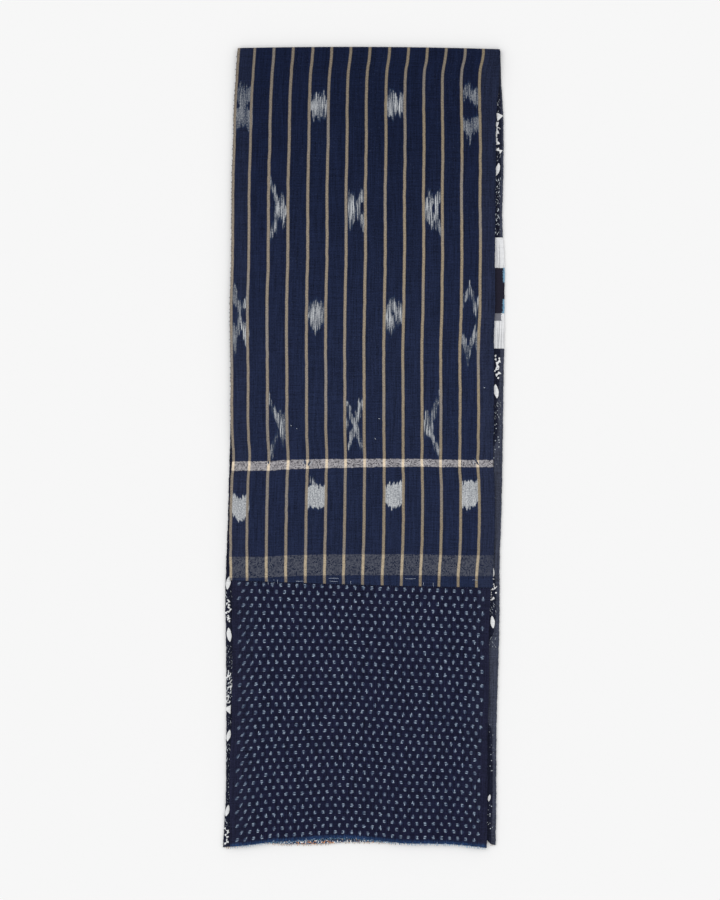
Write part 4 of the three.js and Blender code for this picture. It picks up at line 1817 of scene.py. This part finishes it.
@dataclass(frozen=True)
class PrintedCotton(Cotton):
    """Charcoal cotton with printed figures, and fine slanting lines and dots between them."""

    name: str = "printed lining cotton"
    width: float = 328.0
    length: float = 2 * END_NOMINAL
    pitch: float = 0.5
    depth: float = 0.0001
    dark: Colour = linear(28, 31, 47)
    worn: Colour = linear(60, 64, 79)
    white: Colour = linear(240, 241, 242)
    end_blue: Colour = linear(84, 108, 140)
    fine_ink: Colour = linear(222, 230, 238)
    brown: Colour = linear(224, 158, 100)
    end_start: float = 8.0
    end_end: float = 14.0
    middle: float = 160.0
    half_inner: float = 150.0
    line_turn: float = 0.33
    line_run: float = 8.0

    def colour(self, cloth: Weave) -> Wire:
        """The cloth's colour at each place.

        Args:
            cloth: Its nodes, place and yarns.

        Returns:
            The colour.
        """
        ground = cloth.blend(cloth.mark("print_margin"), self.dark, self.worn)
        end = 1.0 - cloth.along.step(self.end_start, self.end_end)
        inner = abs(cloth.across - self.middle).under(self.half_inner)
        frayed = cloth.grain(1.2, 0.5, 2.0, 1.0).span(0.35, 0.6)
        ground = cloth.uneven(cloth.blend(end * inner * frayed, ground, self.end_blue))
        fleck = (cloth.grain(0.7, 0.45, 8.0) - (end * -0.14 + 0.66)).step(0.0, 0.05) * inner
        tint = cloth.blend(cloth.grain(0.2, 0.2, 1.0, 0.0).step(0.42, 0.52), self.brown, self.white)
        colour = cloth.blend(fleck, ground, tint)
        field = cloth.mark("print") + cloth.grain(1.0, 1.0, 3.0, 1.0) * 0.6 - 0.3
        ink = cloth.scale(self.white, cloth.weft.span(0.3, 0.7, 0.8, 1.05))
        colour = cloth.blend(field.step(-0.2, 0.25), colour, ink)
        fine = self.lines(cloth).sum("MAXIMUM", self.dots(cloth))
        return cloth.blend(fine, colour, self.fine_ink)

    def lines(self, cloth: Weave) -> Wire:
        """Thin slanting lines that turn the other way every few millimetres.

        Args:
            cloth: Its nodes, place and yarns.

        Returns:
            How much of them shows.
        """
        other_way = cloth.chance(0.0, (cloth.along / self.line_run).floor(), 5.0).over(0.45)
        turned = other_way * (2 * self.line_turn) - self.line_turn
        wander = cloth.grain(0.3, 0.3, 2.0, 0.0)
        place = (cloth.along * 0.19 + cloth.across * turned + wander).sum("FRACT")
        broken = cloth.grain(0.5, 0.22, 9.0, 1.0).step(0.52, 0.58)
        return (1.0 - abs(place - 0.5).step(0.1, 0.2)) * broken * cloth.mark("print_lines")

    def dots(self, cloth: Weave) -> Wire:
        """How much of the small dots that are scattered over the strip shows."""
        distance = cloth.speck(cloth.across * 0.3, cloth.along * 0.3)
        return (1.0 - distance.step(0.12, 0.26)) * cloth.mark("print_dots")


@dataclass(frozen=True)
class BlockCotton(Cotton):
    """Cotton woven in large white, black and grey blocks, with a few blue yarns at its edge."""

    name: str = "block patch cotton"
    width: float = 16.5
    length: float = PATCH_END - PATCH_START
    roughness: float = 0.82
    pitch: float = 0.55
    white: Colour = linear(233, 234, 236)
    black: Colour = linear(37, 36, 49)
    grey: Colour = linear(118, 119, 128)
    blue: Colour = linear(132, 178, 208)
    black_from: float = 36.5
    grey_from: float = 91.0
    white_from: float = 100.0
    blue_runs: tuple[tuple[float, float], ...] = ((36.5, 54.0), (74.0, 91.0))
    white_edge: float = 13.0
    blue_edge: tuple[float, float] = (13.8, 15.6)

    def colour(self, cloth: Weave) -> Wire:
        """The cloth's colour at each place.

        Args:
            cloth: Its nodes, place and yarns.

        Returns:
            The colour.
        """
        across, along = cloth.across, cloth.along
        edge = cloth.grain(0.9, 0.35, 0.0, 1.0)
        ragged = edge * 4.0 + across - 2.0
        lines = cloth.grain(0.9, 0.02, 3.0, 0.0).step(0.52, 0.62) * across.step(5.0, 9.0)
        white = cloth.blend(lines * 0.46, self.white, self.grey)
        colour = cloth.blend(self.past(edge * 1.6 + along - 0.8, self.black_from, 0.5), white, self.black)
        corner = cloth.blend(ragged.over(self.white_edge), self.grey, white)
        colour = cloth.blend(self.past(along, self.grey_from, 0.5), colour, corner)
        colour = cloth.blend(self.past(along, self.white_from, 0.5), colour, white)
        for start, end in self.blue_runs:
            shown = self.past(along, start, 0.4) * (1.0 - self.past(along, end, 0.4))
            colour = cloth.blend(shown * ragged.step(*self.blue_edge) * 0.8, colour, self.blue)
        return cloth.scale(colour, cloth.weft.span(0.3, 0.7, 0.94, 1.04))

    def past(self, place: Wire, line: float, blur: float) -> Wire:
        """1 past a line and 0 before it, blurred a little."""
        return place.step(line - blur, line + blur)


@dataclass(frozen=True)
class PlainIndigo(Cotton):
    """Plain dark indigo cotton with soft streaks."""

    name: str = "plain indigo cotton"
    width: float = 331.0
    length: float = 915.0
    dark: Colour = linear(25, 31, 51)
    pale: Colour = linear(36, 43, 66)

    def colour(self, cloth: Weave) -> Wire:
        """The cloth's colour at each place."""
        shade = (cloth.warp + cloth.grain(0.02, 0.02)) * 0.6
        return cloth.blend(shade.span(0.45, 0.8), self.dark, self.pale)


@dataclass(frozen=True)
class ThreadFinish:
    """Loose cotton yarn of one colour with a little unevenness."""

    name: str
    dark: Colour
    pale: Colour
    roughness: float = 0.9
    specular: float = 0.08
    sheen: float = 0.05
    unevenness: float = 700.0
    depth: float = 0.0001

    def make(self) -> Material:
        """Builds the material.

        Returns:
            The material.
        """
        graph = Graph(self.name, self.roughness, self.specular, self.sheen)
        place = graph.scale(graph.wire("TexCoord", "Object", {}), self.unevenness)
        shade = graph.wire("TexNoise", "Fac", {"Vector": place, "Scale": 1.0, "Detail": 1.0})
        colour = graph.blend(shade.span(0.3, 0.7), self.dark, self.pale)
        return graph.finish(colour, shade, self.depth)


class Yarn(Enum):
    """The loose yarns, each with its finish."""

    INDIGO = ThreadFinish("indigo yarn", linear(28, 35, 58), linear(76, 90, 120))
    BLUE = ThreadFinish("blue yarn", linear(38, 78, 130), linear(150, 206, 238))
    STITCH = ThreadFinish("stitch yarn", linear(126, 140, 170), linear(206, 216, 230))
    PALE = ThreadFinish("pale yarn", linear(184, 194, 208), linear(232, 238, 244))
    MIXED = ThreadFinish("mixed yarn", linear(44, 54, 82), linear(250, 214, 172))


class Thread(NamedTuple):
    """A loose thread: the points that it follows, each across, down and up, and its radius."""

    points: tuple[Spot, ...]
    radius: float


@dataclass(frozen=True)
class ThreadBundle:
    """Loose threads of one yarn, made as one piece."""

    name: str
    slot: str
    yarn: Yarn
    threads: tuple[Thread, ...]

    def build(self, finish: Material) -> Piece:
        """Builds the threads as thin closed tubes and hands them to the scarf.

        Args:
            finish: The material that they wear.

        Returns:
            The piece, riding on the scarf's body.
        """
        curve = bpy.data.curves.new(self.name, "CURVE")
        curve.dimensions = "3D"
        curve.bevel_depth = MM
        curve.bevel_resolution = 0
        curve.resolution_u = 1
        curve.use_fill_caps = True
        for thread in self.threads:
            spline = curve.splines.new("POLY")
            spline.points.add(len(thread.points) - 1)
            for spot, (across, down, height) in zip(spline.points, thread.points):
                spot.co = (across * MM, (MIDDLE_DOWN - down) * MM, height * MM, 1.0)
                spot.radius = thread.radius
        tube = placed(self.name, curve)
        bpy.context.view_layer.update()
        mesh = bpy.data.meshes.new_from_object(tube.evaluated_get(bpy.context.evaluated_depsgraph_get()))
        bpy.data.objects.remove(tube)
        bpy.data.curves.remove(curve)
        mesh.name = self.name
        shaper = bmesh.new()
        shaper.from_mesh(mesh)
        bmesh.ops.remove_doubles(shaper, verts=shaper.verts, dist=1e-6)
        bmesh.ops.recalc_face_normals(shaper, faces=shaper.faces)
        shaper.to_mesh(mesh)
        shaper.free()
        mesh.materials.clear()
        mesh.materials.append(finish)
        mesh.shade_smooth()
        piece = placed(self.name, mesh)
        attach(piece, ROOT)
        return piece


def top_height(across: float, down: float, striped: bool) -> float:
    """The height of the scarf's upper face at a point.

    Args:
        across: The place across.
        down: The distance down.
        striped: Whether the striped panel is the upper one there.

    Returns:
        The height in millimetres.
    """
    place, distance = np.array([[across]], float), np.array([[down]], float)
    height = 2 * FOLD_RADIUS + swell(place, distance) - FOLD_ROLL
    if striped:
        height = height + hem_step(place, distance)
    return float(height[0, 0])


@dataclass(frozen=True)
class CutEnd:
    """The frayed end of one half: its column in the table, its reach across, and its loose yarns."""

    column: str
    first: float
    last: float
    height: float
    spacing: float
    slant: float


@dataclass(frozen=True)
class FrayedEdges:
    """The loose yarn ends at the raw hem and at the cut ends, and the loops of the selvedge."""

    seed: int = 17
    yarn: float = 0.17
    bow: float = 0.12
    tucked: float = 1.5
    hem_reach: tuple[float, float] = (-158.0, 152.0)
    hem_depth: float = 0.45
    hem_fall: float = 0.8
    loop_reach: tuple[float, float] = (12.0, 632.0)
    loop_depth: float = 0.55
    loop_root: float = 0.9
    loop_yarn: float = 1.2
    loop_points: int = 5
    front_depth: float = 0.5
    front: CutEnd = CutEnd("front", -159.0, 146.0, 0.0, 1.5, 1.2)
    back: CutEnd = CutEnd("back", -166.0, 157.0, 1.9, 1.8, 2.4)

    def strand(self, start: Spot, end: Spot) -> Thread:
        """A short yarn end from one point to another, bowed up a little between them."""
        across, down, height = ((first + last) / 2 for first, last in zip(start, end))
        return Thread((start, (across, down, height + self.bow), end), self.yarn)

    def hem(self) -> tuple[Thread, ...]:
        """Short warp ends past the striped panel's raw hem.

        Returns:
            The threads.
        """
        chance = random.Random(self.seed)
        threads = []
        across = self.hem_reach[0]
        while across < self.hem_reach[1]:
            down = table_at(STRIPED_HEM, "value", across)
            height = top_height(across, down, striped=True) - self.hem_depth
            reach = chance.uniform(0.5, 2.0)
            aside = across + chance.uniform(-0.8, 0.8)
            lowest = top_height(across, down + reach, striped=False) + self.yarn
            end = (aside, down + reach, max(lowest, height - self.hem_fall))
            threads.append(self.strand((across, down - self.tucked, height), end))
            across += chance.uniform(1.0, 3.4)
        return tuple(threads)

    def cut_end(self, half: CutEnd) -> tuple[Thread, ...]:
        """Short warp ends past one half's cut end.

        Args:
            half: The half, with a height of nought where its yarns lie on top.

        Returns:
            The threads.
        """
        chance = random.Random(self.seed + len(half.column) + int(half.height * 10))
        threads = []
        across = half.first
        while across < half.last:
            down = table_at(CUT_ENDS, half.column, across)
            height = half.height or top_height(across, down, striped=False) - self.front_depth
            reach = chance.uniform(0.6, 2.6)
            aside = across + chance.uniform(-half.slant, half.slant)
            end = (aside, down + reach, max(height - chance.uniform(0.0, 0.8), self.yarn))
            threads.append(self.strand((across, down - self.tucked, height), end))
            across += chance.uniform(0.5, half.spacing)
        return tuple(threads)

    def selvedge(self) -> tuple[Thread, ...]:
        """Small weft loops along the striped panel's left edge.

        Returns:
            The threads.
        """
        chance = random.Random(self.seed + 3)
        threads = []
        down = self.loop_reach[0]
        while down < self.loop_reach[1]:
            left = table_at(STRIPED_EDGES, "left", down)
            length = chance.uniform(1.2, 2.6)
            out = chance.uniform(0.3, 1.0) + self.loop_root
            height = top_height(left, down, striped=True) - self.loop_depth
            points = []
            for step in range(self.loop_points):
                share = step / (self.loop_points - 1)
                across = left + self.loop_root - out * math.sin(math.pi * share)
                points.append((across, down + length * (share - 0.5), height))
            threads.append(Thread(tuple(points), self.yarn * self.loop_yarn))
            down += chance.uniform(3.4, 9.5)
        return tuple(threads)


class Stray(NamedTuple):
    """A stray thread that lies on the upper face: where it lies, how long it is and how it turns."""

    across: float
    down: float
    length: float
    turn: float
    bend: float


STITCHES = rows_of(
    Stray,
    (-77, 640.6, 9, 0.0, 0.2), (-36, 637.4, 12, 0.0, -0.3), (-36, 640.8, 10, 0.06, 0.2),
    (56, 637.6, 12, 0.0, 0.3), (133, 639.4, 6, 0.1, -0.2), (-114.6, 642.0, 6, 1.5, 0.3),
    (-108, 641.5, 6, 1.62, -0.3), (-103.2, 641.5, 5, 1.5, 0.2), (-15.6, 642.4, 3.4, 1.55, 0.1),
    (83.4, 645.0, 5, 1.5, 0.2), (71.4, 644.0, 4, 1.66, 0.1),
)

LINT = rows_of(
    Stray,
    (18.6, 445.8, 1.7, 0.5, 0.4), (13.8, 469.8, 1.6, 1.2, 0.3), (144.6, 408.6, 1.8, 0.2, 0.3),
    (-87.0, 454.2, 1.6, 0.9, 0.4), (-80.4, 457.8, 0.9, 2.2, 0.1), (-115.6, 500.2, 4.2, 1.75, 0.4),
    (-72.4, 498.6, 4.0, 1.2, 0.5), (-63.6, 499.8, 6.0, 2.1, 0.3), (131.6, 498.6, 4.4, 1.2, 0.7),
)

PULLS = rows_of(
    Stray,
    (-70.6, 498.2, 4.6, 1.35, 0.3), (-69.9, 499.0, 3.6, 1.45, 0.2), (-65.8, 500.0, 4.6, 1.85, 0.3),
    (134.0, 495.0, 4.0, 0.9, 0.4), (134.9, 496.6, 6.0, 1.0, 0.4), (136.0, 498.4, 6.0, 1.1, 0.4),
    (-114.2, 498.4, 3.4, 1.45, 0.2),
)

STRAY_POINTS = 5
STRAY_RISE = 0.6


def laid_thread(stray: Stray, radius: float) -> Thread:
    """Lays a stray thread on the scarf's upper face.

    Args:
        stray: Where it lies.
        radius: Its radius.

    Returns:
        The thread.
    """
    cos, sin = math.cos(stray.turn), math.sin(stray.turn)
    points = []
    for step in range(STRAY_POINTS):
        share = step / (STRAY_POINTS - 1) - 0.5
        aside = stray.bend * math.sin(math.pi * (share + 0.5))
        across = stray.across + stray.length * share * cos - aside * sin
        down = stray.down + stray.length * share * sin + aside * cos
        striped = down < table_at(STRIPED_HEM, "value", across)
        points.append((across, down, top_height(across, down, striped) + radius * STRAY_RISE))
    return Thread(tuple(points), radius)


def laid_threads(strays: tuple[Stray, ...], radius: float) -> tuple[Thread, ...]:
    """Lays stray threads of one radius on the scarf's upper face."""
    return tuple(laid_thread(stray, radius) for stray in strays)


@dataclass(frozen=True)
class Scarf:
    """The whole folded scarf: its cloths, its frayed edges and its stray threads."""

    striped: StripedPanel = StripedPanel()
    dotted: DottedPanel = DottedPanel()
    back: BackPanel = BackPanel()
    lining: PrintedLining = PrintedLining()
    patch: BlockPatch = BlockPatch()
    frayed: FrayedEdges = FrayedEdges()
    stitch_radius: float = 0.2
    lint_radius: float = 0.26
    pull_radius: float = 0.7

    def bundles(self) -> tuple[ThreadBundle, ...]:
        """The bundles of loose threads, each in the slot of the cloth that it goes with.

        Returns:
            The bundles, ready to build.
        """
        front_end, back_end = self.frayed.cut_end(self.frayed.front), self.frayed.cut_end(self.frayed.back)
        striped, dotted, lining = self.striped.slot, self.dotted.slot, self.lining.slot
        return (
            ThreadBundle("hem_fray", striped, Yarn.INDIGO, self.frayed.hem()),
            ThreadBundle("selvedge_loops", striped, Yarn.INDIGO, self.frayed.selvedge()),
            ThreadBundle("hem_stitches", striped, Yarn.STITCH, laid_threads(STITCHES, self.stitch_radius)),
            ThreadBundle("lint", striped, Yarn.PALE, laid_threads(LINT, self.lint_radius)),
            ThreadBundle("pulled_threads", striped, Yarn.INDIGO, laid_threads(PULLS, self.pull_radius)),
            ThreadBundle("dotted_end_fray", dotted, Yarn.BLUE, front_end),
            ThreadBundle("lining_end_fray", lining, Yarn.MIXED, back_end),
        )

    def build(self) -> None:
        """Builds every thread and cloth in order, and hides the solid that each cloth stands in for."""
        finishes = {yarn: yarn.value.make() for yarn in Yarn}
        loose: dict[str, list[Piece]] = {}
        for bundle in self.bundles():
            loose.setdefault(bundle.slot, []).append(bundle.build(finishes[bundle.yarn]))
        for cloth, finish, node in (
            (self.striped, StripedKasuri(), "striped_panel"),
            (self.dotted, DottedKasuri(), "dotted_panel"),
            (self.back, PlainIndigo(), "back_panel"),
            (self.lining, PrintedCotton(), "printed_lining"),
            (self.patch, BlockCotton(), "block_patch"),
        ):
            self.dress(cloth, finish.make(), node, loose.get(cloth.slot, []))

    def dress(self, cloth: LaidCloth, finish: Material, node: str, with_pieces: list[Piece]) -> None:
        """Args:
            cloth: The cloth.
            finish: Its material.
            node: The solid's name.
            with_pieces: The pieces that go with it.
        """
        piece = cloth.build(finish)
        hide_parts(node)
        width, length = cloth.flat_size()
        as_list(with_pieces)
        report = "built %s, cut %.3f by %.3f m, with %d loose pieces"
        LOG.info(report, piece.name, width, length, len(with_pieces))


@dataclass(frozen=True)
class Studio:
    """A plain pale floor, soft light and a camera that looks straight down."""

    centre_across: float = -4.6
    centre_along: float = -2.5
    view_height: float = 1080.0
    distance: float = 4500.0
    sensor: float = 36.0
    floor_size: float = 12.0
    sky: float = 0.88
    floor_albedo: float = 0.93
    key_share: float = 0.12
    key_spread: float = 50.0
    key_tilt: float = 38.0
    key_turn: float = 50.0

    def build(self) -> None:
        """Makes the floor, the light and the camera."""
        self.make_floor()
        self.make_light()
        self.make_camera()
        LOG.info("set the floor, the light and the camera")

    def make_floor(self) -> None:
        """A plain pale floor."""
        mesh = bpy.data.meshes.new("floor")
        shaper = bmesh.new()
        bmesh.ops.create_grid(shaper, x_segments=1, y_segments=1, size=self.floor_size / 2)
        shaper.to_mesh(mesh)
        shaper.free()
        graph = Graph("pale floor", roughness=0.9, specular=0.0, sheen=0.0)
        graph.put((self.floor_albedo,) * 3, graph.shader.inputs["Base Color"])
        mesh.materials.append(graph.material)
        floor = placed("floor", mesh)

    def make_light(self) -> None:
        """An even sky and one large soft light from the upper left."""
        world = bpy.data.worlds.new("sky")
        world.use_nodes = True
        background = world.node_tree.nodes["Background"]
        background.inputs["Color"].default_value = (1.0, 1.0, 1.0, 1.0)
        background.inputs["Strength"].default_value = self.sky
        bpy.context.scene.world = world
        data = bpy.data.lights.new("key", "SUN")
        data.angle = math.radians(self.key_spread)
        data.energy = self.key_share * math.pi / math.cos(math.radians(self.key_tilt))
        key = placed("key", data)
        key.rotation_euler = (math.radians(self.key_tilt), 0.0, math.radians(180 + self.key_turn))

    def make_camera(self) -> None:
        """A camera straight above, framed as 720 by 900."""
        data = bpy.data.cameras.new("camera")
        data.sensor_width = self.sensor
        data.lens = self.sensor * self.distance / self.view_height
        data.clip_end = 100.0
        camera = placed("camera", data)
        camera.location = (self.centre_across * MM, self.centre_along * MM, self.distance * MM)
        bpy.context.scene.camera = camera
        bpy.context.scene.view_settings.view_transform = "Standard"


def main() -> None:
    """Builds the scarf and its studio."""
    logging.basicConfig(level=logging.INFO, format="%(message)s")
    Studio().build()
    Scarf().build()


if __name__ == "__main__":
    main()
